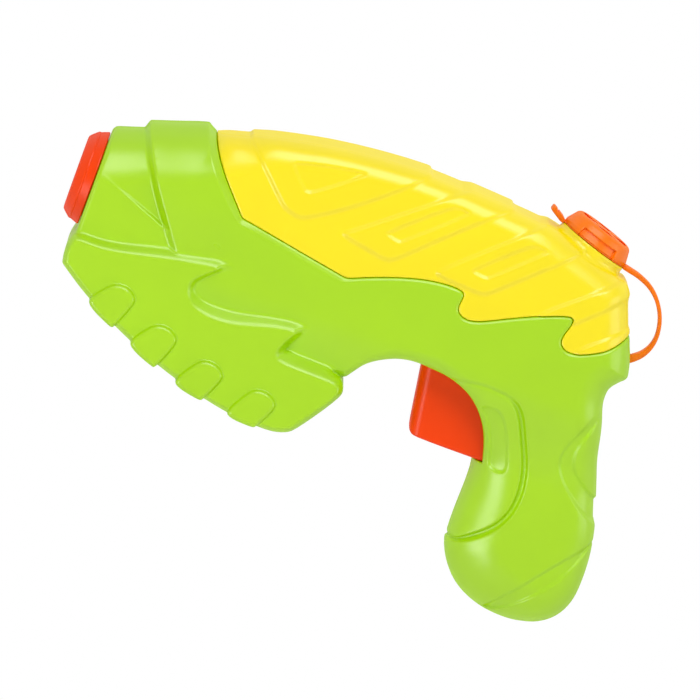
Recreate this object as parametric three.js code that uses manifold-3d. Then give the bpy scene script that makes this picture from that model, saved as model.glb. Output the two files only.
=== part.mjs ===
// Toy water squirter: two clamped body halves, a tank with a tethered screw cap, a trigger
// pump with ball valves, and a nozzle. Millimetres, +Z up, muzzle toward -X, origin in the grip.
import * as THREE from "three";
import { mergeVertices } from "three/addons/utils/BufferGeometryUtils.js";
import Module from "manifold-3d";

const wasm = await Module();
wasm.setup();

// Walls and gaps
const WALL = 2.2; // body halves
const TANK_WALL = 1.8;
const FIT = 0.3; // between pieces that rest on each other
const SNUG = 0.15; // round a pin in its hole
const PARTING_GAP = 0.2; // between the two halves
const FAR = 200; // reach of cutting bodies past the part

// Barrel, tank and rear housing: x, top, bottom, half width, lower corner radius
const POD_SECTIONS = [
  [-206.5, 75.5, 24, 20.8, 4],
  [-203, 77.2, 22, 22, 4],
  [-195, 79.8, 20, 22, 4],
  [-180, 84.8, 20, 22, 4],
  [-165, 88.9, 20, 22.2, 4],
  [-150, 93, 17, 22.4, 4],
  [-130, 97.3, 14, 22.7, 4],
  [-110, 100.2, 10, 23, 4],
  [-90, 102, 10.5, 23, 4],
  [-84, 102.1, 15.5, 23, 4],
  [-80, 102.1, 20.8, 23, 4],
  [-74, 101.9, 25, 23, 4],
  [-66, 101.7, 27.6, 23, 4],
  [-57, 101.3, 28.3, 23, 5],
  [-40, 100, 30, 22.8, 7],
  [-24, 97.3, 31, 22.6, 9],
  [-10, 93, 31, 22.2, 10],
  [1, 89.4, 31, 21.6, 10],
  [6.5, 86.5, 31, 20.8, 10],
  [10.5, 80, 32, 19.2, 9],
  [14, 71.5, 35, 16.4, 8],
  [17, 64, 43, 12.5, 6],
  [19.6, 57, 50.5, 7, 3],
];
const ARCH_HEIGHT = 23; // reach of the rounded top, downward
const ARCH_LIMIT = 0.5; // most of the height that the rounded top takes
const CORNER_LIMIT = 0.35; // most of the height that a lower corner takes
const FINE = { arch: 6, corner: 3, skip: 1 }; // outside faces
const COARSE = { arch: 3, corner: 2, skip: 2 }; // faces of the rooms inside

// Grip: z, front, rear, half width, reach of the rounded front
const GRIP_SECTIONS = [
  [-55.2, 4, 11.5, 5, 3],
  [-54, -4, 17, 9, 8],
  [-52, -10.5, 21.5, 11.8, 11],
  [-49, -15.8, 25, 13.8, 13],
  [-45, -19.8, 28.2, 15.4, 14],
  [-39, -23.4, 30.2, 16.7, 14],
  [-31, -25.9, 31, 17.3, 14],
  [-20, -26.2, 30.5, 17.5, 14],
  [-9, -26.1, 28.4, 17.5, 14],
  [-0.9, -26.3, 25.8, 17.6, 14],
  [0.3, -22.5, 25.5, 17.6, 12],
  [7, -24.5, 23.6, 18, 11],
  [13, -27.5, 21.6, 18.5, 10],
  [18, -31, 20, 19.1, 9],
  [22, -35.6, 19.1, 19.8, 8],
  [25.3, -41.5, 18.4, 20.5, 7],
  [27.8, -50, 17.9, 21.2, 6],
  [31, -56, 17.3, 21.8, 6],
  [37, -56, 15.6, 22, 6],
  [44, -56, 14.4, 21, 6],
  [50, -56, 11, 19, 6],
];
const GRIP_REAR_REACH = 13;
const GRIP_FULL_REACH = 9; // front reach from which the rear is rounded in full
const GRIP_NOSE = 1.5; // half of the flat strip at the front and at the rear
const GRIP_FLOOR_Z = -46; // inside

// The shell stands proud of the tank, most beside the tank's front end
const COLLAR_RAISE = 2.6;
const REAR_RAISE = 0.7;
const RAISE_START_X = -145;
const RAISE_END_X = -97;
const COLLAR_LINE = [[-194, 81], [-182, 61], [-175, 50], [-166, 37], [-150, 15]]; // its front edge

// Jaw panels: foot of the bevel and edge of the flat face, point by point
const JAW_HALF_WIDTH = 26;
const JAW_BEVEL = 3.7;
const JAW_POINTS = [
  [-206.8, 31.2, -206, 29],
  [-195, 31, -195, 28.8],
  [-185, 32.8, -185, 30],
  [-175, 35.5, -175, 32],
  [-165, 37.8, -165, 34.5],
  [-155, 39.5, -156, 36],
  [-147, 40.4, -150, 36.9],
  [-143.6, 39, -148.6, 36.3],
  [-147.5, 34.5, -151, 33.5],
  [-153, 28.5, -155.6, 29],
  [-153.5, 25.5, -156.2, 25.5],
  [-151, 22.5, -154, 20.8],
  [-147, 21.2, -149, 18.2],
  [-141, 21, -142, 17.2],
  [-135, 21.5, -134, 18.1],
  [-128, 23.5, -127, 20],
  [-120, 25.8, -119, 22.2],
  [-111, 26.9, -113, 23.3],
  [-107.4, 25.8, -110.6, 22.6],
  [-110.5, 19, -113.2, 17.5],
  [-112.5, 15, -114.8, 12.5],
  [-111, 13, -112.5, 9.7],
  [-90, 12.3, -90, 9.3],
  [-86, 11, -87.6, 8.6],
  [-84.7, 8, -86.4, 6.8],
  [-84.7, 5, -86.5, 5],
  [-97.5, -13.5, -98.9, -12],
  [-101, -15.8, -101.5, -14.2],
  [-108, -17.4, -108, -15.6],
  [-126, -16.6, -126, -14.8],
  [-150, -10.9, -149.4, -9.2],
  [-171, -3, -170.3, -1.3],
  [-192, 7.4, -191, 8.9],
  [-206.3, 17, -204.8, 17.9],
  [-208, 24, -206.4, 24],
  [-208.2, 28.5, -206.6, 28],
];
const JAW_ROOM = [
  [-207.5, 30], [-208, 24], [-206.3, 17], [-192, 7.4], [-171, -3], [-150, -10.9],
  [-126, -16.6], [-108, -17.4], [-98.5, -14.5], [-86, 6], [-90, 11], [-112, 13], [-160, 28],
];
const PADS = [[-181, 17.5, -0.47], [-160, 7.8, -0.4], [-138, 0.7, -0.2], [-114, -2.7, -0.06]];
const PAD_RAISE = 1; // past the flat face
const PAD_DROP = 16.6; // from a pad's top to its foot line
const PAD_CROWN = [[-4.3, -1.4], [0, 0], [4.5, -1.6], [7, -5.2]]; // from the pad's top
const PAD_FOOT = [[2.2, 0.6], [0, 0], [-9.6, 0], [-10.9, 3]]; // from the foot line, which slopes
const PAD_FOOT_MIDDLE = -4; // where the foot line has its stated drop

// Seam between shell and tank, from the collar's top to the rear
const SEAM = [
  [-167.5, 89], [-165, 82.5], [-160, 75], [-154.5, 68.5], [-146, 59], [-144, 58.2],
  [-99.5, 50.2], [-97.5, 50.3], [-90, 53.5], [-80, 57.1], [-70, 60], [-60, 61.3], [-54, 61],
  [-52.2, 59.6], [-52.8, 54.5], [-51.2, 51.7], [-48, 50.7], [-44, 51.3], [-30, 58], [-20, 62.5],
  [-10, 66], [-7.8, 65], [-9.8, 57], [-8.8, 53.6], [-6, 52.2], [-3, 52.3], [8, 57.3], [12, 61], [17, 68],
];
const LIP_DROP = 4; // how far the tank reaches below the seam, inside the shell
const FLOOR_LIFT = 2.5; // from the seam up to the upper room of the tank

// Raised panels of the tank and the recesses in them
const PANEL_RAISE = 1.2;
const RECESS_DEPTH = 0.9;
const PANELS = [
  [[-157, 112], [-154.5, 90.5], [-143, 79.5], [-131, 68], [-124.5, 66.5], [-120, 68], [-110, 74.5],
    [-100, 82], [-90, 90.5], [-83, 97.8], [-78, 104], [-76, 112]],
  [[-64, 112], [-66.5, 102.5], [-75, 91.5], [-100, 71], [-106, 66.5], [-103, 65], [-87, 62.3],
    [-84, 62.8], [-75, 71], [-60, 85.5], [-45, 100.3], [-43, 112]],
  [[-28, 110], [-31.5, 100], [-43, 86.5], [-55, 75], [-66, 65], [-65, 63.5], [-47, 62.3],
    [-43.5, 63], [-25, 80.5], [-15, 89.5], [-12, 98]],
  [[-22, 60], [-21, 63.5], [-13, 70.5], [5, 85.3], [16, 94], [20, 88], [9, 79], [0, 70], [-8, 63]],
  [[-3, 50], [-3, 53.5], [0, 57], [13, 67.5], [24, 76], [24, 50]],
];
const RECESSES = [
  [[-133.7, 85.2], [-126, 77.5], [-123, 77.5], [-110, 87], [-105, 92.2], [-118, 90.3], [-131, 87.3]],
  [[-90, 72.5], [-83.5, 70.7], [-61, 91], [-66, 92], [-70, 90.5]],
  [[-53, 69.8], [-46, 69], [-26.5, 87.3], [-32, 88], [-35, 86.8]],
];

// Filler neck, cap and tether, on an axis that leans back; t runs up the axis from the tank's seat
const CAP_AT = [-11, 95.7];
const CAP_TILT = THREE.MathUtils.degToRad(18);
const NECK_BORE = 8;
const NECK_WALL = 1.6;
const NECK_RADIUS = NECK_BORE + NECK_WALL;
const NECK_TOP = 5.8;
const THREAD_PITCH = 3.5;
const THREAD_TURNS = 1.25;
const THREAD_HEIGHT = 1;
const THREAD_FOOT = 1.3; // width at the wall
const THREAD_CREST = 0.7; // width at the crest
const THREAD_ROOT = 0.3; // sunk into the wall
const THREAD_CLEARANCE = 0.4; // from a crest to the wall across
const THREAD_START = 0.7;
const THREAD_STEPS = 20; // per turn
const SKIRT_BORE = NECK_RADIUS + THREAD_HEIGHT + THREAD_CLEARANCE;
const SKIRT_WALL = 1.4;
const SKIRT_RADIUS = SKIRT_BORE + SKIRT_WALL;
const SKIRT_BOTTOM = -1.2;
const SKIRT_BEAD = 0.7; // keeps the ring on
const BEAD_HEIGHT = 0.6;
const BEAD_SLOPE = 0.4;
const RING_CLEARANCE = 0.4;
const RING_BORE = SKIRT_RADIUS + RING_CLEARANCE;
const RING_WIDTH = 1.6;
const RING_RADIUS = RING_BORE + RING_WIDTH;
const RING_THICK = 1.4;
const SEAT_RADIUS = RING_RADIUS + 0.5;
const SEAT_LENGTH = 12; // down into the tank
const SEAT_DEPTH = 1.8; // well in the seat round the neck
const SEAL_THICK = 0.6;
const SEAL_WIDTH = 3.7;
const CAP_OVERHANG = 0.3; // past the ring
const CAP_RADIUS = RING_RADIUS + CAP_OVERHANG;
const CAP_FOOT = RING_THICK + 2 * FIT;
const CAP_CEILING = NECK_TOP + SEAL_THICK + 2 * SNUG;
const CAP_ROOF = 1.7;
const CAP_TOP = CAP_CEILING + CAP_ROOF;
const CAP_CHAMFER = 1.7;
const NOTCHES = 4;
const NOTCH_WIDTH = 16.5;
const NOTCH_DEPTH = 1.8;
const NOTCH_HEIGHT = 3.3;
const WEDGES = 4;
const WEDGE_DEPTH = 1.1;
const WEDGE_REACH = [3, 10.5]; // from the axis
const WEDGE_HALF_WIDTH = [1, 5]; // at the same ends
const TAB_LENGTH = 6.4;
const TAB_WIDTH = 7;
const TAB_RISE = THREE.MathUtils.degToRad(15);
const TAB_ROOT = 0.6; // sunk into the ring
const STRAP_WIDTH = 6;
const STRAP_THICK = 1.8;
const STRAP_LOOP = [
  [10.5, 91.5], [16.5, 88.8], [21, 84.3], [24.4, 78.5], [25.9, 72], [25.4, 67], [23.6, 62.8], [20.9, 60],
];
const STRAP_STEPS = 22;
const STUB_LENGTH = 2.2; // of the ring, toward the strap
const ANCHOR_STEM = 8;
const ANCHOR_HEAD = [2, 10, 4]; // along the stem, across, thick
const ANCHOR_CLEARANCE = 1.5; // from the tank

// Nozzle, on the barrel's axis
const BARREL_Z = 53.75;
const NOZZLE_RADIUS = 19.25;
const BARREL_FRONT_X = POD_SECTIONS[0][0];
const NOZZLE_LENGTH = 8; // ahead of the barrel
const NOZZLE_FRONT_X = BARREL_FRONT_X - NOZZLE_LENGTH;
const NOZZLE_ROUNDING = [[3.4, 0], [1.2, 1.8], [0.2, 4], [0, 5]]; // in from the rim, back from the front
const NOZZLE_SPIGOT = 16;
const SPIGOT_LENGTH = 8.5; // into the barrel
const NOZZLE_TAIL_X = BARREL_FRONT_X + SPIGOT_LENGTH;
const NOZZLE_WALL = 2;
const FACE_THICK = 3; // of the dish's floor
const DISH_RADIUS = 15;
const DISH_DEPTH = 5; // at the jet
const DISH_FOOT = [2, 3.5]; // in from the dish's rim, back from the front
const JET_RADIUS = 4;
const JET_CHAMFER = 1.4;
const JET_SINK = 3; // back from the nozzle's front
const JET_FRONT_X = NOZZLE_FRONT_X + JET_SINK;
const JET_TAIL_X = -182;
const HUB_WALL = 3;
const HUB_LENGTH = 9; // behind the dish's floor
const HUB_END_X = NOZZLE_FRONT_X + DISH_DEPTH + HUB_LENGTH;
const JET_FLANGE = [2.5, 2]; // past the jet, thick
const JET_GROOVE_AT = 2.1; // from the hub's end to the groove
const JET_GROOVE = [1, 2]; // deep, wide
const RING_PLAY = 0.2; // of the soft ring in its groove
const ORIFICE_RADIUS = 0.7;

// Trigger and pump
const TRIGGER_HALF_WIDTH = 9;
const TRIGGER_WALL = 2;
const TRIGGER_OUTLINE = [
  [-59.6, 33], [-57, 16], [-55.2, 4], [-54, 1.4], [-51.5, 0], [-17, 0], [-17, 24], [-31, 24], [-45, 33],
];
const TRIGGER_POCKET = [
  [-56, 30.8], [-52, 2.2], [-10, 2.2], [-10, 22], [-31.6, 22], [-45.7, 30.8],
];
const TRIGGER_BEVEL = 1.2;
const TRIGGER_SLOT_X = [-60, -14];
const LUG_SPAN_X = [-51.2, -47];
const LUG_FOOT_Z = 31.2;
const LUG_THICK = 1.8;
const LUG_REACH = 12.5; // from the middle plane
const STOP_ROOT = 3 * WALL; // of the shell's stops, down into its wall
const PUMP_Z = 14;
const PUMP_SIDES = 16;
const BORE_RADIUS = 4.5;
const CYLINDER_WALL = 1.5;
const CYLINDER_MOUTH_X = -22;
const CYLINDER_END_WALL = 2;
const FLANGE_RADIUS = BORE_RADIUS + CYLINDER_WALL + 0.5;
const FLANGE_THICK = 2;
const ROD_RADIUS = 2.5;
const SPRING_SEAT_X = -50;
const SPRING_SEAT_THICK = 5;
const ROD_SOCKET = 3;
const PISTON_REAR_X = -14; // at rest
const PISTON_LENGTH = 5;
const SEAL_GROOVE = 2.2;
const SEAL_GROOVE_DEPTH = 1;
const SPRING_RADIUS = 4.7;
const SPRING_WIRE = 0.45;
const SPRING_CURLS = 7;
const CURL_STEPS = 8;
const CURL_SIDES = 5;

// Valves, fittings and tubes
const PORT_RADIUS = 1.2;
const BALL_RADIUS = 1.8;
const BALL_REST = 0.1; // above its seat
const BALL_LIFT = 1.5;
const BALL_ROOM = BALL_RADIUS + FIT;
const BALL_ROOM_DEPTH = 3;
const BALL_SIDES = [10, 7];
const SPIGOT_RADIUS = BALL_ROOM + 1.1;
const SPIGOT_TOP_Z = PUMP_Z + BORE_RADIUS + CYLINDER_WALL + 4;
const BALL_SEAT_Z = SPIGOT_TOP_Z - BALL_ROOM_DEPTH;
const SLEEVE_WALL = 1.05;
const SLEEVE_RADIUS = SPIGOT_RADIUS + SNUG + SLEEVE_WALL;
const SLEEVE_ROOF = 1.6;
const SLEEVE_CEILING_Z = SPIGOT_TOP_Z + BALL_LIFT + 1;
const FITTING_SHOULDER_Z = SLEEVE_CEILING_Z + SLEEVE_ROOF;
const INLET_X = 0;
const OUTLET_X = INLET_X + 2 * SLEEVE_RADIUS + 0.5;
const CYLINDER_END_X = OUTLET_X + SPIGOT_RADIUS + FIT;
const BARB_RADIUS = 2;
const BARB_LENGTH = 4.5;
const TUBE_BORE = BARB_RADIUS + 0.5;
const TUBE_WALL = 0.7;
const TUBE_RADIUS = TUBE_BORE + TUBE_WALL;
const TUBE_STEPS = 36;
const TUBE_SIDES = 6;
const OUTLET_ROUTE = [
  [7.2, 3.4, 40.2], [0.5, 8.4, 41.6], [-9, 9.4, 41.6], [-60, 9.4, 41.6], [-120, 9.4, 41.8],
  [-146, 8, 44], [-166, 2.6, 51],
];
const TANK_OUTLET_FLANGE = [4.6, 1.5]; // radius, thick
const GROMMET_WALL = 1.2;
const GROMMET_REACH = 2; // past the tank's floor, on both sides
const REAR_SEAM_X = -7; // start of the seam's last rise

// Screws and what they go through
const SCREWS = [[-196, 22], [-150, 4], [-105, -4], [-90, 33], [-24, 33], [3, -12], [6, -38]];
const SCREW_RADIUS = 1.4;
const SCREW_HEAD_RADIUS = 2.7;
const SCREW_HEAD_THICK = 1.8;
const SCREW_HEAD_Y = 8;
const SCREW_TIP_Y = -8;
const SCREW_POINT = 1.5;
const SCREW_HEAD_CHAMFER = [0.7, 0.6]; // inward, down
const SCREW_SIDES = 10;
const BOSS_RADIUS = SCREW_RADIUS + 2;
const COUNTERBORE_RADIUS = SCREW_HEAD_RADIUS + 0.4;
const BOSS_WALL = 1.3;
const TANK_RIBS_X = [-125, -75, -38];
const TANK_RIB_SPAN = [-20, 10]; // from the barrel's axis
const SADDLES_X = [-3, 4.7];
const SADDLE_SPAN = [-8.5, 5]; // from the pump's axis
const RIB_THICK = 2;

const ROUND = 24; // sides of round pieces
const SMALL_ROUND = 12;
const WELD = 1e-4;

// Closed body from a geometry
function solid(geometry) {
  const bare = new THREE.BufferGeometry();
  bare.setAttribute("position", geometry.getAttribute("position"));
  bare.setIndex(geometry.getIndex());
  const welded = mergeVertices(bare, WELD);
  const index = welded.getIndex().array;
  const faces = [];
  for (let i = 0; i < index.length; i += 3) {
    const [a, b, c] = [index[i], index[i + 1], index[i + 2]];
    if (a !== b && b !== c && c !== a) faces.push(a, b, c);
  }
  const vertProperties = new Float32Array(welded.getAttribute("position").array);
  return new wasm.Manifold(new wasm.Mesh({ numProp: 3, vertProperties, triVerts: new Uint32Array(faces) }));
}

function joined(...bodies) {
  return bodies.reduce((sum, body) => sum.add(body));
}

// Skin over rings of flat points; place gives each point its spot in space
function skin(rings, place) {
  const count = rings[0].points.length;
  const spots = rings.flatMap((ring) => ring.points.map(([u, v]) => place(u, v, ring.at)));
  const faces = [];
  for (let r = 0; r + 1 < rings.length; r += 1) {
    for (let i = 0; i < count; i += 1) {
      const a = r * count + i;
      const b = r * count + ((i + 1) % count);
      faces.push([a, b, b + count], [a, b + count, a + count]);
    }
  }
  const lid = (ring) => THREE.ShapeUtils.triangulateShape(
    ring.points.map(([u, v]) => new THREE.Vector2(u, v)), []);
  const last = (rings.length - 1) * count;
  lid(rings[0]).forEach(([a, b, c]) => faces.push(
    turnsLeft(rings[0].points) ? [c, b, a] : [a, b, c]));
  lid(rings.at(-1)).forEach(([a, b, c]) => faces.push(
    turnsLeft(rings.at(-1).points) ? [last + a, last + b, last + c] : [last + c, last + b, last + a]));
  let volume = 0;
  faces.forEach(([a, b, c]) => {
    volume += spots[a].dot(new THREE.Vector3().crossVectors(spots[b], spots[c]));
  });
  const ordered = volume < 0 ? faces.map(([a, b, c]) => [c, b, a]) : faces;
  const geometry = new THREE.BufferGeometry().setFromPoints(spots);
  geometry.setIndex(ordered.flat());
  return solid(geometry);
}

// Whether an outline runs counter-clockwise
function turnsLeft(points) {
  return THREE.ShapeUtils.area(points.map(([u, v]) => new THREE.Vector2(u, v))) > 0;
}

const alongX = (u, v, at) => new THREE.Vector3(at, u, v);
const alongY = (u, v, at) => new THREE.Vector3(u, at, v);
const alongZ = (u, v, at) => new THREE.Vector3(u, v, at);

// Side outline in x and z, pulled across the part from one y to another
function slab(outline, from, to) {
  return skin([{ at: from, points: outline }, { at: to, points: outline }], alongY);
}

function block([x0, x1], [y0, y1], [z0, z1]) {
  const geometry = new THREE.BoxGeometry(x1 - x0, y1 - y0, z1 - z0);
  geometry.translate((x0 + x1) / 2, (y0 + y1) / 2, (z0 + z1) / 2);
  return solid(geometry);
}

// Round body from radius and height pairs, round Z
function turned(profile, sides = ROUND) {
  const geometry = new THREE.LatheGeometry(profile.map(([r, h]) => new THREE.Vector2(r, h)), sides);
  geometry.rotateX(Math.PI / 2);
  const body = solid(geometry);
  return body.volume() < 0 ? solid(flipped(geometry)) : body;
}

function flipped(geometry) {
  const index = geometry.getIndex();
  const turnedOver = geometry.clone();
  turnedOver.setIndex(Array.from(index.array).reverse());
  return turnedOver;
}

const rod = (radius, from, to, sides = ROUND) => turned(
  [[0, from], [radius, from], [radius, to], [0, to]], sides);
const pipe = (inner, outer, from, to, sides = ROUND) => turned(
  [[inner, from], [outer, from], [outer, to], [inner, to], [inner, from]], sides);

// Bodies made round Z, laid along X or Y, or stood on the cap's axis
const layX = (body, z) => body.rotate([0, 90, 0]).translate([0, 0, z]);
const layY = (body, x, z) => body.rotate([-90, 0, 0]).translate([x, 0, z]);
const standX = (body, x) => body.translate([x, 0, 0]);
const onCapAxis = (body) => body
  .rotate([0, THREE.MathUtils.radToDeg(CAP_TILT), 0])
  .translate([CAP_AT[0], 0, CAP_AT[1]]);

function arc(steps, from, to, place) {
  return Array.from({ length: steps + 1 }, (_, i) => place(from + ((to - from) * i) / steps));
}

// Body of the barrel, tank and rear housing, drawn in by an inset that may change along x
function pod(inset, detail = FINE) {
  const depth = typeof inset === "function" ? inset : () => inset;
  const last = POD_SECTIONS.length - 1;
  const kept = POD_SECTIONS.filter((_, i) => i % detail.skip === 0 || i === last);
  const rings = kept.map(([x, top, bottom, half, corner], i) => {
    const t = depth(x);
    const width = half - t;
    const high = top - t;
    const low = bottom + t;
    const arch = Math.min(ARCH_HEIGHT, (high - low) * ARCH_LIMIT);
    const round = Math.min(corner, (high - low) * CORNER_LIMIT, width * ARCH_LIMIT);
    const quarter = Math.PI / 2;
    const crown = arc(2 * detail.arch, -quarter, quarter, (a) => [
      width * Math.sin(a), high - arch * (1 - Math.cos(a))]);
    const side = arc(detail.corner, 0, quarter, (a) => [
      width - round * (1 - Math.cos(a)), low + round * (1 - Math.sin(a))]);
    const other = side.map(([y, z]) => [-y, z]).reverse();
    const end = i === 0 ? t : i === kept.length - 1 ? -t : 0;
    return { at: x + end, points: [...crown, ...side, ...other] };
  });
  return skin(rings, alongX);
}

function grip(inset, detail = FINE) {
  const rows = GRIP_SECTIONS.filter(([z]) => inset === 0 || z > GRIP_FLOOR_Z);
  const rings = rows.map(([z, front, rear, half, reach]) => {
    const wide = half - inset - GRIP_NOSE;
    const corner = (x, sign, far) => arc(detail.corner, 0, Math.PI / 2, (a) => [
      x - sign * (far - inset) * Math.cos(a), GRIP_NOSE + wide * Math.sin(a)]);
    const rearReach = GRIP_REAR_REACH * Math.min(1, reach / GRIP_FULL_REACH);
    const ahead = corner(front + reach, 1, reach);
    const behind = corner(rear - rearReach, -1, rearReach);
    const half1 = [...ahead, ...behind.reverse()];
    const half2 = half1.map(([x, y]) => [x, -y]).reverse();
    return { at: z, points: [...half1, ...half2] };
  });
  return skin(rings, alongZ);
}

// Outline drawn in by a distance, for outlines with no narrow places
function drawnIn(outline, distance) {
  const sign = turnsLeft(outline) ? 1 : -1;
  return outline.map(([x, z], i) => {
    const before = outline[(i + outline.length - 1) % outline.length];
    const after = outline[(i + 1) % outline.length];
    const p = new THREE.Vector2(x - before[0], z - before[1]).normalize();
    const q = new THREE.Vector2(after[0] - x, after[1] - z).normalize();
    const lean = new THREE.Vector2(-(p.y + q.y), p.x + q.x);
    const scale = (2 * distance * sign) / lean.lengthSq();
    return [x + lean.x * scale, z + lean.y * scale];
  });
}

function raise(x) {
  const share = THREE.MathUtils.clamp((x - RAISE_START_X) / (RAISE_END_X - RAISE_START_X), 0, 1);
  return THREE.MathUtils.lerp(COLLAR_RAISE, REAR_RAISE, share);
}

function jaw() {
  const foot = JAW_POINTS.map(([x, z]) => [x, z]);
  const face = JAW_POINTS.map(([, , x, z]) => [x, z]);
  const edge = JAW_HALF_WIDTH - JAW_BEVEL;
  return skin([
    { at: -JAW_HALF_WIDTH, points: face },
    { at: -edge, points: foot },
    { at: edge, points: foot },
    { at: JAW_HALF_WIDTH, points: face },
  ], alongY);
}

// Knuckle pad that runs round the jaw's underside
function pad([x, z, slope]) {
  const crown = PAD_CROWN.map(([dx, dz]) => [x + dx, z + dz]);
  const foot = PAD_FOOT.map(([dx, dz]) => [x + dx, z - PAD_DROP + dz + slope * (dx - PAD_FOOT_MIDDLE)]);
  const outline = [...crown, ...foot];
  const inner = drawnIn(outline, PAD_RAISE);
  const reach = JAW_HALF_WIDTH + PAD_RAISE;
  return skin([
    { at: -reach, points: inner },
    { at: -JAW_HALF_WIDTH, points: outline },
    { at: JAW_HALF_WIDTH, points: outline },
    { at: reach, points: inner },
  ], alongY);
}

// Region above the seam, dropped, and drawn in where a gap is kept
function aboveSeam(drop, gap = 0) {
  const [first, last] = [SEAM[0], SEAM.at(-1)];
  const outline = drawnIn([...SEAM, [FAR, last[1]], [FAR, FAR], [first[0], FAR]], gap);
  return slab(outline.map(([x, z]) => [x, z - drop]), -FAR, FAR);
}

const podBody = pod(0);
const podRoom = pod(WALL, COARSE);
const gripRoom = grip(WALL, COARSE);
const jawRoom = slab(drawnIn(JAW_ROOM, WALL), WALL - JAW_HALF_WIDTH, JAW_HALF_WIDTH - WALL);

// Both halves as one body, before they part
function shellBody() {
  const [upper, lower] = [COLLAR_LINE[0], COLLAR_LINE.at(-1)];
  const beforeCollar = slab([...COLLAR_LINE, [-FAR * 2, lower[1]], [-FAR * 2, upper[1]]], -FAR, FAR);
  const barrel = pod((x) => -raise(x)).subtract(beforeCollar);
  const outside = joined(podBody, barrel, grip(0), jaw(), ...PADS.map(pad));
  const rooms = joined(podRoom, gripRoom, jawRoom);
  const slot = block(
    TRIGGER_SLOT_X,
    [-TRIGGER_HALF_WIDTH - FIT, TRIGGER_HALF_WIDTH + FIT],
    [-FIT, LUG_FOOT_Z],
  );
  const muzzle = layX(rod(NOZZLE_SPIGOT + FIT, BARREL_FRONT_X - WALL, BARREL_FRONT_X + 2 * WALL), BARREL_Z);
  return outside.subtract(joined(rooms, slot, muzzle, aboveSeam(0)));
}

// Ribs, saddles and stops inside the shell
function shellRibs(outside) {
  const tube = outletTubeCore(TUBE_RADIUS + FIT);
  const across = (x, from, to) => block(
    [x - RIB_THICK / 2, x + RIB_THICK / 2], [-FAR, FAR], [from, to]);
  const tankRibs = TANK_RIBS_X.map((x) => across(
    x, BARREL_Z + TANK_RIB_SPAN[0], BARREL_Z + TANK_RIB_SPAN[1]).subtract(tube));
  const barrel = layX(rod(BORE_RADIUS + CYLINDER_WALL + SNUG, -FAR, FAR), PUMP_Z);
  const saddles = SADDLES_X.map((x) => across(
    x, PUMP_Z + SADDLE_SPAN[0], PUMP_Z + SADDLE_SPAN[1]).subtract(barrel));
  const stops = [-1, 1].map((side) => block(
    [LUG_SPAN_X[0] - FIT - RIB_THICK, LUG_SPAN_X[0] - FIT],
    side < 0 ? [-LUG_REACH, -TRIGGER_HALF_WIDTH - FIT] : [TRIGGER_HALF_WIDTH + FIT, LUG_REACH],
    [LUG_FOOT_Z - STOP_ROOT, LUG_FOOT_Z + LUG_THICK]));
  return joined(...tankRibs, ...saddles, ...stops)
    .intersect(outside)
    .subtract(aboveSeam(LIP_DROP + FIT));
}

function shells() {
  const hollow = shellBody();
  const jawReach = JAW_HALF_WIDTH - WALL / 2;
  const jawCore = slab(drawnIn(JAW_ROOM, WALL / 2), -jawReach, jawReach);
  const core = joined(pod(WALL / 2, COARSE), grip(WALL / 2, COARSE), jawCore);
  const ribs = shellRibs(core);
  const bosses = (radius, from, to) => SCREWS.map(
    ([x, z]) => layY(rod(radius, from, to, SMALL_ROUND), x, z));
  const pins = joined(...bosses(SCREW_RADIUS + SNUG, SCREW_TIP_Y - 1, FAR));
  const wells = joined(...bosses(COUNTERBORE_RADIUS, SCREW_HEAD_Y, FAR));
  const muzzle = layX(nozzleRoom(), BARREL_Z);
  const anchor = anchorBody(FIT / 2);
  const pillars = joined(...bosses(BOSS_RADIUS, -FAR, 0));
  const left = joined(hollow, ribs, pillars.intersect(core))
    .subtract(pins)
    .subtract(muzzle)
    .subtract(anchor)
    .intersect(block([-FAR * 2, FAR], [-FAR, -PARTING_GAP / 2], [-FAR, FAR]));
  const wellWalls = joined(...bosses(COUNTERBORE_RADIUS + BOSS_WALL, 0, FAR));
  const right = joined(hollow, ribs, wellWalls.intersect(core))
    .subtract(pins)
    .subtract(wells)
    .subtract(muzzle)
    .subtract(anchor)
    .intersect(block([-FAR * 2, FAR], [PARTING_GAP / 2, FAR], [-FAR, FAR]));
  return { left, right };
}

// Helical rib on a wall at a radius, inward or outward
function thread(wall, crest, start, turns, phase) {
  const steps = Math.round(THREAD_STEPS * turns);
  const root = wall - Math.sign(crest - wall) * THREAD_ROOT;
  const [low, high] = [-THREAD_FOOT / 2, THREAD_FOOT / 2];
  const [under, over] = [-THREAD_CREST / 2, THREAD_CREST / 2];
  const rings = Array.from({ length: steps + 1 }, (_, i) => {
    const turn = (turns * i) / steps;
    return {
      at: [phase + turn * 2 * Math.PI, start + THREAD_PITCH * turn],
      points: [[root, low], [crest, under], [crest, over], [root, high]],
    };
  });
  return skin(rings, (r, h, [angle, rise]) => new THREE.Vector3(
    r * Math.cos(angle), r * Math.sin(angle), rise + h));
}

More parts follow.
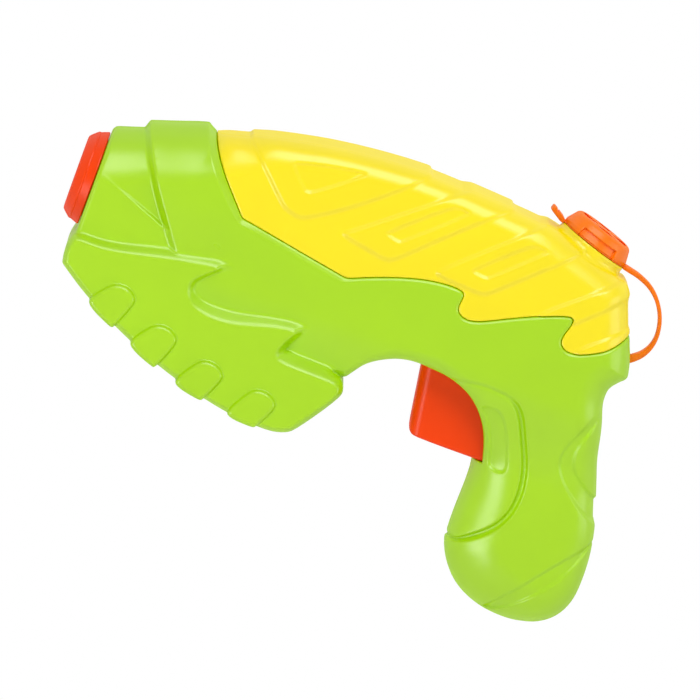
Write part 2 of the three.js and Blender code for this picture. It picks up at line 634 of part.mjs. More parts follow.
function tank() {
  const above = aboveSeam(0, FIT);
  const panels = joined(...PANELS.map((outline) => slab(outline, -FAR, FAR)));
  const recesses = joined(...RECESSES.map((outline) => slab(outline, -FAR, FAR)));
  const flank = podBody.add(pod(-PANEL_RAISE).intersect(panels));
  const dents = recesses.subtract(pod(RECESS_DEPTH - PANEL_RAISE / 2));
  const lip = pod(WALL + FIT, COARSE).intersect(aboveSeam(LIP_DROP));
  const seat = onCapAxis(rod(SEAT_RADIUS, -SEAT_LENGTH, 0));
  const room = joined(
    pod(TANK_WALL + RECESS_DEPTH, COARSE).intersect(aboveSeam(-FLOOR_LIFT)),
    pod(WALL + FIT + TANK_WALL, COARSE).intersect(aboveSeam(LIP_DROP - TANK_WALL)),
  );
  const anchorRoom = anchorBody(ANCHOR_CLEARANCE);
  const neck = joined(
    pipe(NECK_BORE, NECK_RADIUS, -SEAT_DEPTH - NECK_WALL, NECK_TOP),
    thread(NECK_RADIUS, NECK_RADIUS + THREAD_HEIGHT, THREAD_START, THREAD_TURNS, 0),
  );
  const floor = tankFloorZ(INLET_X);
  const hole = BARB_RADIUS + GROMMET_WALL;
  const outlet = standX(rod(hole, floor - 2 * LIP_DROP, floor + 2 * LIP_DROP, SMALL_ROUND), INLET_X);
  return flank
    .subtract(dents)
    .intersect(above)
    .add(lip)
    .add(seat)
    .subtract(onCapAxis(rod(SKIRT_RADIUS + SKIRT_BEAD + 2 * FIT, -SEAT_DEPTH, 1)))
    .subtract(room)
    .subtract(anchorRoom)
    .add(onCapAxis(neck))
    .subtract(onCapAxis(rod(NECK_BORE, -SEAT_LENGTH - TANK_WALL, NECK_TOP + 1)))
    .subtract(outlet);
}

function capBody() {
  const body = turned([
    [0, CAP_TOP], [CAP_RADIUS - CAP_CHAMFER, CAP_TOP], [CAP_RADIUS, CAP_TOP - CAP_CHAMFER],
    [CAP_RADIUS, CAP_FOOT], [SKIRT_RADIUS, CAP_FOOT],
    [SKIRT_RADIUS, SKIRT_BOTTOM + BEAD_HEIGHT + BEAD_SLOPE],
    [SKIRT_RADIUS + SKIRT_BEAD, SKIRT_BOTTOM + BEAD_HEIGHT],
    [SKIRT_RADIUS + SKIRT_BEAD, SKIRT_BOTTOM], [SKIRT_BORE, SKIRT_BOTTOM], [SKIRT_BORE, CAP_CEILING],
    [0, CAP_CEILING],
  ], ROUND);
  const notch = block(
    [CAP_RADIUS - NOTCH_DEPTH, CAP_RADIUS + 1],
    [-NOTCH_WIDTH / 2, NOTCH_WIDTH / 2],
    [0, CAP_FOOT + NOTCH_HEIGHT],
  );
  const [near, far] = WEDGE_REACH;
  const [narrow, wide] = WEDGE_HALF_WIDTH;
  const outline = [[near, -narrow], [far, -wide], [far, wide], [near, narrow]];
  const wedge = skin([
    { at: CAP_TOP - WEDGE_DEPTH, points: outline },
    { at: CAP_TOP + WEDGE_DEPTH, points: outline },
  ], alongZ);
  const around = (count, piece, first) => Array.from({ length: count }, (_, i) => piece.rotate(
    [0, 0, first + (360 * i) / count]));
  const ribs = thread(SKIRT_BORE, SKIRT_BORE - THREAD_HEIGHT, THREAD_START, THREAD_TURNS, Math.PI);
  return body
    .subtract(joined(...around(NOTCHES, notch, -90)))
    .subtract(joined(...around(WEDGES, wedge, -45)))
    .add(ribs);
}

function capSeal() {
  const foot = NECK_TOP + SNUG;
  return pipe(SKIRT_BORE - FIT - SEAL_WIDTH, SKIRT_BORE - FIT, foot, foot + SEAL_THICK);
}

function tetherRing() {
  const ring = pipe(RING_BORE, RING_RADIUS, FIT, FIT + RING_THICK);
  const tab = block([-TAB_LENGTH, TAB_ROOT], [-TAB_WIDTH / 2, TAB_WIDTH / 2], [0, RING_THICK])
    .rotate([0, THREE.MathUtils.radToDeg(TAB_RISE), 0])
    .translate([-RING_RADIUS, 0, FIT]);
  const stub = block([RING_RADIUS - TAB_ROOT, RING_RADIUS + STUB_LENGTH],
    [-STRAP_WIDTH / 2, STRAP_WIDTH / 2], [FIT, FIT + RING_THICK]);
  const clear = rod(RING_BORE, -RING_THICK, 3 * RING_THICK);
  return onCapAxis(joined(ring, tab, stub).subtract(clear));
}

// Flat strip of the strap's section along a route in the middle plane
function strip(route, steps, grow) {
  const spots = route.map(([x, z]) => new THREE.Vector3(x, 0, z));
  const path = new THREE.CatmullRomCurve3(spots, false, "centripetal");
  const section = new THREE.Shape([
    [-1, -1], [1, -1], [1, 1], [-1, 1],
  ].map(([u, v]) => new THREE.Vector2(u * (STRAP_WIDTH / 2 + grow), v * (STRAP_THICK / 2 + grow))));
  const geometry = new THREE.ExtrudeGeometry(section, { steps, extrudePath: path });
  return solid(geometry);
}

// Spot in x and z at a reach from the cap's axis and a height on it
function capSpot(reach, t) {
  return [
    CAP_AT[0] + reach * Math.cos(CAP_TILT) + t * Math.sin(CAP_TILT),
    CAP_AT[1] - reach * Math.sin(CAP_TILT) + t * Math.cos(CAP_TILT),
  ];
}

const STRAP_ROUTE = [capSpot(RING_RADIUS + STUB_LENGTH + 2 * FIT, FIT + RING_THICK / 2), ...STRAP_LOOP];
const strapEnd = STRAP_ROUTE.at(-1);
const strapFrom = STRAP_ROUTE.at(-2);
const strapAim = new THREE.Vector2(strapEnd[0] - strapFrom[0], strapEnd[1] - strapFrom[1]).normalize();
const past = (distance) => [strapEnd[0] + strapAim.x * distance, strapEnd[1] + strapAim.y * distance];

// Stem that carries the strap into the shell, with a cross bar inside
function anchorBody(grow) {
  const stem = strip([past(FIT - grow), past(FIT + ANCHOR_STEM + grow)], 1, grow);
  const [long, across, thick] = ANCHOR_HEAD;
  const bar = block(
    [-long / 2 - grow, long / 2 + grow],
    [-across / 2 - grow, across / 2 + grow],
    [-thick / 2 - grow, thick / 2 + grow],
  );
  const lean = THREE.MathUtils.radToDeg(-Math.atan2(strapAim.y, strapAim.x));
  const [x, z] = past(FIT + ANCHOR_STEM - long / 2);
  return stem.add(bar.rotate([0, lean, 0]).translate([x, 0, z]));
}

// Nozzle pieces lie along x; heights in their profiles are x
function nozzleBezel() {
  const front = NOZZLE_FRONT_X;
  const back = BARREL_FRONT_X - FIT;
  const bore = JET_RADIUS + SNUG;
  const inside = front + DISH_DEPTH + FACE_THICK;
  const rim = NOZZLE_ROUNDING.map(([inward, along]) => [NOZZLE_RADIUS - inward, front + along]);
  return turned([
    [bore, front + DISH_DEPTH], [DISH_RADIUS - DISH_FOOT[0], front + DISH_FOOT[1]], [DISH_RADIUS, front],
    ...rim,
    [NOZZLE_RADIUS, back], [NOZZLE_SPIGOT, back], [NOZZLE_SPIGOT, NOZZLE_TAIL_X],
    [NOZZLE_SPIGOT - NOZZLE_WALL, NOZZLE_TAIL_X], [NOZZLE_SPIGOT - NOZZLE_WALL, inside],
    [JET_RADIUS + HUB_WALL, inside], [JET_RADIUS + HUB_WALL, HUB_END_X], [bore, HUB_END_X],
    [bore, front + DISH_DEPTH],
  ], ROUND);
}

// Room that the bezel's tail needs inside the shell
function nozzleRoom() {
  return rod(NOZZLE_SPIGOT + FIT, BARREL_FRONT_X - WALL, NOZZLE_TAIL_X + FIT);
}

function nozzleJet() {
  const r = JET_RADIUS;
  const [reach, thick] = JET_FLANGE;
  const [deep, wide] = JET_GROOVE;
  const flange = HUB_END_X + FIT;
  const groove = HUB_END_X - JET_GROOVE_AT;
  return turned([
    [ORIFICE_RADIUS, JET_FRONT_X], [r - JET_CHAMFER, JET_FRONT_X], [r, JET_FRONT_X + JET_CHAMFER],
    [r, groove - wide], [r - deep, groove - wide], [r - deep, groove], [r, groove],
    [r, flange], [r + reach, flange], [r + reach, flange + thick], [BARB_RADIUS, flange + thick],
    [BARB_RADIUS, JET_TAIL_X], [ORIFICE_RADIUS, JET_TAIL_X], [ORIFICE_RADIUS, JET_FRONT_X],
  ], SMALL_ROUND);
}

function nozzleRing() {
  const [deep, wide] = JET_GROOVE;
  const groove = HUB_END_X - JET_GROOVE_AT;
  const inner = JET_RADIUS - deep + RING_PLAY / 2;
  return pipe(inner, JET_RADIUS, groove - wide + RING_PLAY, groove - RING_PLAY, SMALL_ROUND);
}

function triggerBody() {
  const half = TRIGGER_HALF_WIDTH;
  const edge = half - TRIGGER_BEVEL;
  const inner = drawnIn(TRIGGER_OUTLINE, TRIGGER_BEVEL);
  const body = skin([
    { at: -half, points: inner },
    { at: -edge, points: TRIGGER_OUTLINE },
    { at: edge, points: TRIGGER_OUTLINE },
    { at: half, points: inner },
  ], alongY);
  const pocket = slab(TRIGGER_POCKET, TRIGGER_WALL - half, half - TRIGGER_WALL);
  const lugs = block(LUG_SPAN_X, [-LUG_REACH, LUG_REACH], [LUG_FOOT_Z, LUG_FOOT_Z + LUG_THICK]);
  const seatEnd = SPRING_SEAT_X - SPRING_SEAT_THICK;
  const seat = layX(rod(FLANGE_RADIUS, seatEnd, SPRING_SEAT_X, PUMP_SIDES), PUMP_Z);
  const socketEnd = SPRING_SEAT_X - ROD_SOCKET;
  const socket = layX(rod(ROD_RADIUS + SNUG, socketEnd, SPRING_SEAT_X + FIT, PUMP_SIDES), PUMP_Z);
  return body.subtract(pocket).add(lugs).add(seat).subtract(socket);
}

function piston() {
  const head = BORE_RADIUS - FIT;
  const front = PISTON_REAR_X - PISTON_LENGTH;
  const tip = SPRING_SEAT_X - ROD_SOCKET + FIT;
  const groove = PISTON_REAR_X - (PISTON_LENGTH + SEAL_GROOVE) / 2;
  const core = head - SEAL_GROOVE_DEPTH;
  return turned([
    [0, tip], [ROD_RADIUS, tip], [ROD_RADIUS, front], [head, front], [head, groove], [core, groove],
    [core, groove + SEAL_GROOVE], [head, groove + SEAL_GROOVE], [head, PISTON_REAR_X], [0, PISTON_REAR_X],
  ], PUMP_SIDES);
}

function pistonSeal() {
  const groove = PISTON_REAR_X - (PISTON_LENGTH + SEAL_GROOVE) / 2;
  const inner = BORE_RADIUS - FIT - SEAL_GROOVE_DEPTH + RING_PLAY / 2;
  return pipe(inner, BORE_RADIUS - SNUG, groove + SNUG, groove + SEAL_GROOVE - SNUG, PUMP_SIDES);
}

function springCoil() {
  const from = SPRING_SEAT_X + FIT + SPRING_WIRE;
  const to = CYLINDER_MOUTH_X - FIT - SPRING_WIRE;
  const steps = SPRING_CURLS * CURL_STEPS;
  const middle = (i) => {
    const angle = (2 * Math.PI * i) / CURL_STEPS;
    return new THREE.Vector3(
      from + ((to - from) * i) / steps,
      SPRING_RADIUS * Math.cos(angle),
      PUMP_Z + SPRING_RADIUS * Math.sin(angle),
    );
  };
  const section = circle(SPRING_WIRE, CURL_SIDES).map(({ x, y }) => [x, y]);
  const rings = Array.from({ length: steps + 1 }, (_, i) => ({ at: i, points: section }));
  const points = rings.map(({ at }) => middle(at));
  let least = Infinity;
  points.forEach((p, i) => points.slice(i + CURL_STEPS / 2).forEach((q) => {
    least = Math.min(least, p.distanceTo(q) - 2 * SPRING_WIRE);
  }));
  console.log(`least gap of the spring to itself: ${least.toFixed(2)} mm`);
  return skin(rings, (u, v, i) => {
    const angle = (2 * Math.PI * i) / CURL_STEPS;
    const outward = new THREE.Vector3(0, Math.cos(angle), Math.sin(angle));
    return middle(i).addScaledVector(outward, u).add(new THREE.Vector3(v, 0, 0));
  });
}

function cylinderBody() {
  const outer = BORE_RADIUS + CYLINDER_WALL;
  const mouth = CYLINDER_MOUTH_X;
  const end = CYLINDER_END_X;
  const floor = end - CYLINDER_END_WALL;
  const barrel = layX(turned([
    [BORE_RADIUS, mouth], [FLANGE_RADIUS, mouth], [FLANGE_RADIUS, mouth + FLANGE_THICK],
    [outer, mouth + FLANGE_THICK], [outer, end], [0, end], [0, floor], [BORE_RADIUS, floor],
    [BORE_RADIUS, mouth],
  ], PUMP_SIDES), PUMP_Z);
  const foot = PUMP_Z + BORE_RADIUS + FIT;
  const spigots = [INLET_X, OUTLET_X].map(
    (x) => standX(rod(SPIGOT_RADIUS, foot, SPIGOT_TOP_Z, SMALL_ROUND), x));
  const ports = [INLET_X, OUTLET_X].flatMap((x) => [
    standX(rod(PORT_RADIUS, PUMP_Z, SPIGOT_TOP_Z, SMALL_ROUND), x),
    standX(rod(BALL_ROOM, BALL_SEAT_Z, SPIGOT_TOP_Z + 1, SMALL_ROUND), x),
  ]);
  return barrel.add(joined(...spigots)).subtract(joined(...ports));
}

// Sleeve over a spigot with a barb for a tube above it
function fitting(x) {
  const foot = PUMP_Z + BORE_RADIUS + CYLINDER_WALL + FIT;
  const sleeve = SPIGOT_RADIUS + SNUG;
  const ceiling = SLEEVE_CEILING_Z;
  const shoulder = FITTING_SHOULDER_Z;
  return standX(turned([
    [sleeve, foot], [SLEEVE_RADIUS, foot], [SLEEVE_RADIUS, shoulder], [BARB_RADIUS, shoulder],
    [BARB_RADIUS, shoulder + BARB_LENGTH], [PORT_RADIUS, shoulder + BARB_LENGTH], [PORT_RADIUS, ceiling],
    [BALL_ROOM, ceiling], [BALL_ROOM, SPIGOT_TOP_Z + SNUG], [sleeve, SPIGOT_TOP_Z + SNUG], [sleeve, foot],
  ], SMALL_ROUND), x);
}

function ball(x) {
  const geometry = new THREE.SphereGeometry(BALL_RADIUS, ...BALL_SIDES);
  const rest = BALL_SEAT_Z + Math.sqrt(BALL_RADIUS ** 2 - PORT_RADIUS ** 2) + BALL_REST;
  geometry.translate(x, 0, rest);
  return solid(geometry);
}

// Height of the tank's lower face under the seam's last rise
function tankFloorZ(x) {
  const i = SEAM.findIndex(([sx]) => sx > x && sx > REAR_SEAM_X);
  const [a, b] = [SEAM[i - 1], SEAM[i]];
  return a[1] + ((b[1] - a[1]) * (x - a[0])) / (b[0] - a[0]) - LIP_DROP;
}

// Fitting through the tank's floor, in a soft washer
function tankOutlet() {
  const floor = tankFloorZ(INLET_X);
  const [radius, thick] = TANK_OUTLET_FLANGE;
  const top = floor + TANK_WALL + GROMMET_REACH;
  const tip = floor - GROMMET_REACH - BARB_LENGTH;
  return standX(turned([
    [PORT_RADIUS, top + thick], [radius, top + thick], [radius, top], [BARB_RADIUS, top],
    [BARB_RADIUS, tip], [PORT_RADIUS, tip], [PORT_RADIUS, top + thick],
  ], SMALL_ROUND), INLET_X);
}

function tankGrommet() {
  const floor = tankFloorZ(INLET_X);
  const top = floor + TANK_WALL + GROMMET_REACH - SNUG;
  const outer = BARB_RADIUS + GROMMET_WALL - SNUG;
  return standX(pipe(BARB_RADIUS + SNUG, outer, floor - GROMMET_REACH, top, SMALL_ROUND), INLET_X);
}

function inletTube() {
  const top = tankFloorZ(INLET_X) - GROMMET_REACH - FIT;
  return standX(pipe(TUBE_BORE, TUBE_RADIUS, FITTING_SHOULDER_Z + FIT, top, SMALL_ROUND), INLET_X);
}

// Route of the outlet tube, with straight ends over the barbs
function outletPath() {
  const spots = [
    [OUTLET_X, 0, FITTING_SHOULDER_Z + FIT],
    [OUTLET_X, 0, FITTING_SHOULDER_Z + BARB_LENGTH],
    [OUTLET_X, 0, FITTING_SHOULDER_Z + BARB_LENGTH + TUBE_RADIUS],
    ...OUTLET_ROUTE,
    [JET_TAIL_X + BARB_LENGTH, 0, BARREL_Z],
    [JET_TAIL_X, 0, BARREL_Z],
    [JET_TAIL_X - BARB_LENGTH, 0, BARREL_Z],
  ].map(([x, y, z]) => new THREE.Vector3(x, y, z));
  return new THREE.CatmullRomCurve3(spots, false, "centripetal");
}

function circle(radius, sides) {
  const spot = (a) => new THREE.Vector2(radius * Math.cos(a), radius * Math.sin(a));
  return arc(sides, 0, 2 * Math.PI, spot).slice(0, -1);
}

function outletTubeCore(radius) {
  const section = new THREE.Shape(circle(radius, TUBE_SIDES));
  return solid(new THREE.ExtrudeGeometry(section, { steps: TUBE_STEPS, extrudePath: outletPath() }));
}

function outletTube() {
  const section = new THREE.Shape(circle(TUBE_RADIUS, TUBE_SIDES));
  section.holes.push(new THREE.Path(circle(TUBE_BORE, TUBE_SIDES)));
  return solid(new THREE.ExtrudeGeometry(section, { steps: TUBE_STEPS, extrudePath: outletPath() }));
}

function screw([x, z]) {
  const under = SCREW_HEAD_Y + SNUG;
  const top = under + SCREW_HEAD_THICK;
  const [inward, down] = SCREW_HEAD_CHAMFER;
  return layY(turned([
    [0, SCREW_TIP_Y], [SCREW_RADIUS, SCREW_TIP_Y + SCREW_POINT], [SCREW_RADIUS, under],
    [SCREW_HEAD_RADIUS, under], [SCREW_HEAD_RADIUS, top - down], [SCREW_HEAD_RADIUS - inward, top],
    [0, top],
  ], SCREW_SIDES), x, z);
}

const plastic = (color, roughness) => new THREE.MeshStandardMaterial({ color, roughness, metalness: 0 });
const GREEN = plastic(0xaae41e, 0.33);
const YELLOW = plastic(0xffe81e, 0.28);
const ORANGE = plastic(0xf54b08, 0.35);
const CAP_ORANGE = plastic(0xff6e08, 0.35);
const WHITE = plastic(0xe9e9e4, 0.4);
const CLEAR = plastic(0xdfe8ea, 0.2);
const RUBBER = plastic(0x222222, 0.7);
const STEEL = new THREE.MeshStandardMaterial({ color: 0xb9bcc0, roughness: 0.3, metalness: 1 });

const squirter = new THREE.Group();

function addPiece(name, body, material) {
  const mesh = body.getMesh();
  const geometry = new THREE.BufferGeometry();
  geometry.setAttribute("position", new THREE.BufferAttribute(new Float32Array(mesh.vertProperties), 3));
  geometry.setIndex(new THREE.BufferAttribute(new Uint32Array(mesh.triVerts), 1));
  geometry.computeVertexNormals();
  const piece = new THREE.Mesh(geometry, material);
  piece.name = name;
  squirter.add(piece);
}

const { left, right } = shells();
addPiece("left_shell", left, GREEN);
addPiece("right_shell", right, GREEN);
addPiece("water_tank", tank(), YELLOW);
addPiece("filler_cap", onCapAxis(capBody()), CAP_ORANGE);
addPiece("cap_seal", onCapAxis(capSeal()), WHITE);
addPiece("tether_ring", tetherRing(), CAP_ORANGE);
addPiece("tether_strap", strip(STRAP_ROUTE, STRAP_STEPS, 0), CAP_ORANGE);
addPiece("tether_anchor", anchorBody(0), CAP_ORANGE);
addPiece("nozzle_bezel", layX(nozzleBezel(), BARREL_Z), ORANGE);
addPiece("nozzle_jet", layX(nozzleJet(), BARREL_Z), ORANGE);
addPiece("nozzle_o_ring", layX(nozzleRing(), BARREL_Z), RUBBER);
addPiece("trigger", triggerBody(), ORANGE);
addPiece("piston", layX(piston(), PUMP_Z), WHITE);
addPiece("piston_seal", layX(pistonSeal(), PUMP_Z), RUBBER);
addPiece("return_spring", springCoil(), STEEL);
addPiece("pump_cylinder", cylinderBody(), WHITE);
addPiece("inlet_fitting", fitting(INLET_X), WHITE);
addPiece("outlet_fitting", fitting(OUTLET_X), WHITE);
addPiece("inlet_ball", ball(INLET_X), STEEL);
addPiece("outlet_ball", ball(OUTLET_X), STEEL);
addPiece("tank_outlet", tankOutlet(), WHITE);
addPiece("tank_grommet", tankGrommet(), RUBBER);
addPiece("inlet_tube", inletTube(), CLEAR);
addPiece("outlet_tube", outletTube(), CLEAR);
SCREWS.forEach((spot, i) => addPiece(`screw_${i + 1}`, screw(spot), STEEL));

export default squirter;
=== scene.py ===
"""Looks of a toy water squirter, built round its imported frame. Outlines and sizes are in millimetres."""

import math

import bpy
import numpy as np
from mathutils import Matrix, Vector


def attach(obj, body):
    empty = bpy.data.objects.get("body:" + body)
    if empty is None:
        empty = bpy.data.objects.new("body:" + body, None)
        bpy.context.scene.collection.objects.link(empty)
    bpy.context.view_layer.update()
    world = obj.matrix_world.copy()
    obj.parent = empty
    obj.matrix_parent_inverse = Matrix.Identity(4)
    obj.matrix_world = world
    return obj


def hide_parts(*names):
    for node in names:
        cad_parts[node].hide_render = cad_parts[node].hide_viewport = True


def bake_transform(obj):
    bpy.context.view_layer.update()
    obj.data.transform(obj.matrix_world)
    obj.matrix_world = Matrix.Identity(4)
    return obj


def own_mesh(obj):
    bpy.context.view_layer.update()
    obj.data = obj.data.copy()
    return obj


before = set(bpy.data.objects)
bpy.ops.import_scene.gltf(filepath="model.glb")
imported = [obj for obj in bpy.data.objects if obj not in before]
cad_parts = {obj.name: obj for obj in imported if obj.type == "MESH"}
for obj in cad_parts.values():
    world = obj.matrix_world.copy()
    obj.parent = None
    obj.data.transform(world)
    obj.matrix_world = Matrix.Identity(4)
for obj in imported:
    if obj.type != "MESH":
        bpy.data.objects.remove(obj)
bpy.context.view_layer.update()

MM = 0.001
STEP = 0.6  # of the lattice that the moulded pieces are cut from
CAP_STEP = 0.2
TRIGGER_STEP = 0.4
FAR = 1e9
TINY = 1e-9
WALL = 2.2
TANK_WALL = 1.8
FIT = 0.3
PARTING = 0.04  # from the middle plane to each half
TILT = math.radians(20)  # of the barrel in the picture
RISE = math.radians(8)  # of the camera over the picture's level
FLANK = 23  # from the middle plane to the flank that the camera sees
GRIP_FLANK = 18


def lifted(points, flank=FLANK):
    """Lines of a flank, read as if the view were level, moved up to where a raised camera sees them."""
    lift = flank * math.tan(RISE)
    return [(x - lift * math.sin(TILT), z + lift * math.cos(TILT)) for x, z in points]


# Side outlines, x and z, with the muzzle toward -x; a point given twice keeps its corner
BODY = [
    (-235, 67), (-203, 77.2), (-195, 79.8), (-180, 84.8), (-165, 88.9), (-145, 94.1), (-125, 98.1),
    (-105, 100.6), (-85, 101.9), (-70, 101.4), (-45, 100), (-29, 98.5), (-10, 93), (1, 89.4),
    (6.5, 87.2), (9.2, 83.4), (9.8, 80.4), (12.4, 74), (15, 66), (17.6, 60), (19.2, 53.4), (19, 52),
    (16.8, 50.2), (13.6, 46.4), (13.2, 42), (13.8, 38), (15.6, 33), (17.4, 27), (19.7, 18), (23, 9),
    (26, 0), (29, -9), (31.2, -20), (31.8, -30), (31.3, -40.6), (28.3, -48), (22.3, -53.4),
    (13.6, -56.5), (5, -57), (-5, -55.6), (-15.4, -50.8), (-22.7, -42.6), (-26.5, -34), (-27, -24),
    (-26.4, -10), (-26.7, -1),
] + lifted([
    (-29, 6.5), (-32.4, 13), (-37.5, 19), (-43.5, 23.6), (-50, 26.8), (-59.5, 28.3), (-67, 27.4),
    (-74, 24.3), (-79.6, 20.3), (-83, 15), (-86, 10.5), (-110, 10), (-130, 14), (-150, 17),
    (-165, 20), (-235, 20),
])
TRIGGER_GAP = [(-22.6, 0.4), (-22.6, 0.4)] + lifted([
    (-24.5, 7.5), (-28, 14), (-33, 20), (-40, 24.5), (-50, 27.2), (-58, 26),
]) + [(-62, 0.4), (-62, 0.4)]
SEAM = lifted([
    (-170, 130), (-168, 90), (-165, 82.5), (-160, 75), (-154.5, 68.5), (-146, 59), (-145, 58.3),
    (-143.5, 58.1), (-100.5, 50.3), (-99, 50.1), (-97.2, 50.4), (-90, 53.5), (-80, 57.1), (-70, 60),
    (-61, 61.3), (-54.5, 61.2), (-52.2, 60), (-52.4, 57), (-52.8, 54), (-51.3, 51.7), (-48, 50.6),
    (-44, 51.3), (-40, 53), (-30, 58), (-20, 62.5), (-10.8, 66), (-8, 65.8), (-7.9, 63), (-9.7, 57.8),
    (-9.6, 54.4), (-7, 52.3), (-3, 52.2), (2, 54.2), (8, 57.3), (12, 61), (17, 68), (60, 124),
    (60, 130),
])
COLLAR_FRONT = lifted([(-199, 88), (-193.7, 77), (-185, 61), (-177, 49), (-168.5, 37.5), (-160, 26)])
CREASE = lifted([(-212, 59), (-173, 44), (-165, 41)])
JAW_RIDGE = lifted([(-220, 29), (-175, 35), (-143, 38), (-107, 26), (-80, 6)])
JAW = [  # foot of the bevel, then edge of the flat face
    (-205.2, 31.2, -204.4, 29), (-195, 31, -195, 28.6), (-185, 32.8, -185, 30),
    (-175, 35.5, -175, 32.3), (-165, 37.8, -165, 34.5), (-155, 39.8, -156, 36),
    (-147, 40.8, -150.5, 37), (-143.2, 40.3, -148.2, 37), (-141.9, 39, -147.4, 36.4),
    (-142.6, 37.7, -148, 35.6), (-148.5, 33.9, -152, 32.4), (-153, 28.6, -155.8, 28.8),
    (-153.7, 25.5, -156.4, 25.2), (-151.3, 22.7, -154.2, 20.9), (-147, 21.2, -149.4, 18.3),
    (-141, 20.9, -142, 17.2), (-135, 21.5, -134, 18.1), (-128, 23.5, -127, 20),
    (-120, 25.8, -119, 22.3), (-111, 27.2, -113, 23.4), (-107, 26.9, -110.8, 23.3),
    (-105.8, 25.8, -110, 22.7), (-106.6, 24.4, -110.4, 21.8), (-110.5, 19, -113.2, 17.5),
    (-112.5, 15, -114.8, 12.2), (-111, 13, -112.5, 9.8), (-100, 12.5, -100, 9.5),
    (-90, 12.3, -90, 9.3), (-86, 11, -87.8, 8.8), (-84.2, 8, -86.2, 7), (-84.2, 4.2, -86, 4.4),
    (-96.5, -14, -97.9, -12.6), (-100.4, -16.9, -101, -15.2), (-108, -18.4, -108, -16.7),
    (-126, -17, -126, -15.3), (-150, -11, -149.4, -9.4), (-171, -3, -170.3, -1.4),
    (-192, 7.4, -191, 8.8), (-206, 16.8, -204.6, 18), (-206.6, 17.6, -205.2, 18.6),
    (-207.4, 22.6, -205.9, 22.9), (-206.9, 27.4, -205.4, 26.8),
]
JAW_HALF = 26
JAW_BEVEL = 3.4
JAW_LEAST_BEVEL = 0.4
JAW_LEAN = 0.7
JAW_SKIRT = 3  # how far the panel runs on inside the body
JAW_SKIRT_FADE = (1, 5)
PADS = [  # top, slope of the foot
    (-181, 17.5, -0.47), (-160, 7.8, -0.4), (-138, 0.6, -0.2), (-114.4, -3.2, -0.06),
]
PAD_CROWN = [(-4.6, -1.4), (-1, 0.2), (3.2, -0.2), (6.4, -2.6), (7.1, -5.4)]
PAD_FOOT = [(2.4, 0.6), (1, -0.3), (-9.4, -0.3), (-10.9, 2.4)]
PAD_DROP = 14.8
PAD_HINGE = -4  # of the foot's slope, from the top
PAD_HALF = 27.8
PAD_ROUND = 1.8
GROOVE = lifted([
    (-44, 27), (-35, 28.8), (-28, 28.9), (-21, 27.8), (-16.5, 25), (-13.5, 20.5), (-10, 13), (-6, 4),
    (-4, -4), (-3.7, -11), (-5, -18), (-9, -25), (-15, -30.5), (-20, -34.3), (-23, -35.4), (-30, -34),
], GRIP_FLANK)
GRIP_SLOT = lifted([
    (-31, 20.5), (-27.5, 18), (-23, 10.5), (-20, 2), (-19.3, -1.5), (-17, -2.8), (-13.4, -2.6),
    (-12.2, -0.2), (-14, 5), (-17, 13), (-20.5, 19), (-24.5, 22),
], GRIP_FLANK)
REAR_BAND = lifted([
    (24, 46), (16.8, 35), (14, 26), (11.5, 18), (11.2, 14), (12.6, 9.4), (18, 4.5), (26, -1), (36, -4),
    (36, -12), (25.5, -8.7), (19, -4.7), (13, 0.3), (8, 5.8), (6.2, 11), (6.5, 16), (9, 22), (13, 31),
    (18, 46),
], GRIP_FLANK)
FOOT_BAND = lifted([
    (-2, -58), (1.5, -53), (6, -47.5), (13, -38.5), (20, -29.5), (28, -20.5), (36, -12), (36, -10),
    (30, -18.6), (27.4, -27), (23, -35.2), (17, -43.3), (10, -50.8), (4, -56),
], GRIP_FLANK)
PANELS = [
    [
        (-157, 112), (-155, 91), (-150, 86.5), (-143, 79.5), (-132.5, 69.2), (-129.5, 67.4),
        (-124.5, 66.4), (-121, 67.4), (-110, 74.5), (-100, 82), (-90, 90.5), (-83, 97), (-77.5, 101),
        (-72, 105), (-68, 112),
    ],
    [
        (-52, 112), (-58, 104), (-66, 98), (-75, 91), (-100, 71), (-105.5, 67), (-105, 65.6),
        (-95, 63.7), (-87, 62.2), (-83.6, 62.8), (-75, 71), (-60, 85.5), (-50, 94), (-43.5, 98),
        (-38, 102), (-34, 112),
    ],
    [
        (-20, 110), (-26, 101), (-33, 95), (-43, 86), (-55, 75), (-65.5, 65.2), (-65, 63.6),
        (-56, 62.7), (-46.5, 62.2), (-43.2, 63.2), (-25, 80.5), (-14, 90), (-8, 96),
    ],
    [(-24, 58), (-21, 63.5), (-13, 70.5), (5, 85.3), (16, 94), (20, 88), (9, 79), (0, 70), (-10, 61)],
    [(-4, 48), (-3, 53.5), (0, 57), (13, 67.5), (24, 76), (24, 48)],
]
RECESSES = [
    [
        (-133.9, 85.2), (-126.5, 77.6), (-124.5, 76.9), (-122, 78), (-110, 87), (-105, 91.6),
        (-105.5, 92.4), (-118, 90.3), (-132, 87.1),
    ],
    [
        (-90, 72.7), (-89, 71.9), (-84, 70.6), (-82.4, 71.4), (-61, 90.6), (-62, 91.5), (-66, 92),
        (-70, 90.5),
    ],
    [
        (-53, 70.3), (-52, 69.5), (-46.6, 68.8), (-45, 69.7), (-26.6, 86.8), (-27.4, 87.6), (-32, 88),
        (-35, 86.8),
    ],
]
PANEL_RAISE = 1.1
PANEL_BEVEL = 1.5
PANEL_SPREAD = 0.6  # how far a panel's foot reaches past its outline
PANEL_REAR_LOSS = 0.4  # share of the rise lost at the rear
PANEL_REAR = (0, 10)
RECESS_DEPTH = 0.9
RECESS_BEVEL = 1.3
TRIGGER = [
    (-59.6, 33), (-59.6, 33), (-57, 16), (-55.2, 4.4), (-54.2, 1.7), (-51.5, 0.5), (-17, 0.5),
    (-17, 0.5), (-17, 24), (-17, 24), (-31, 24), (-31, 24), (-45, 33), (-45, 33),
]
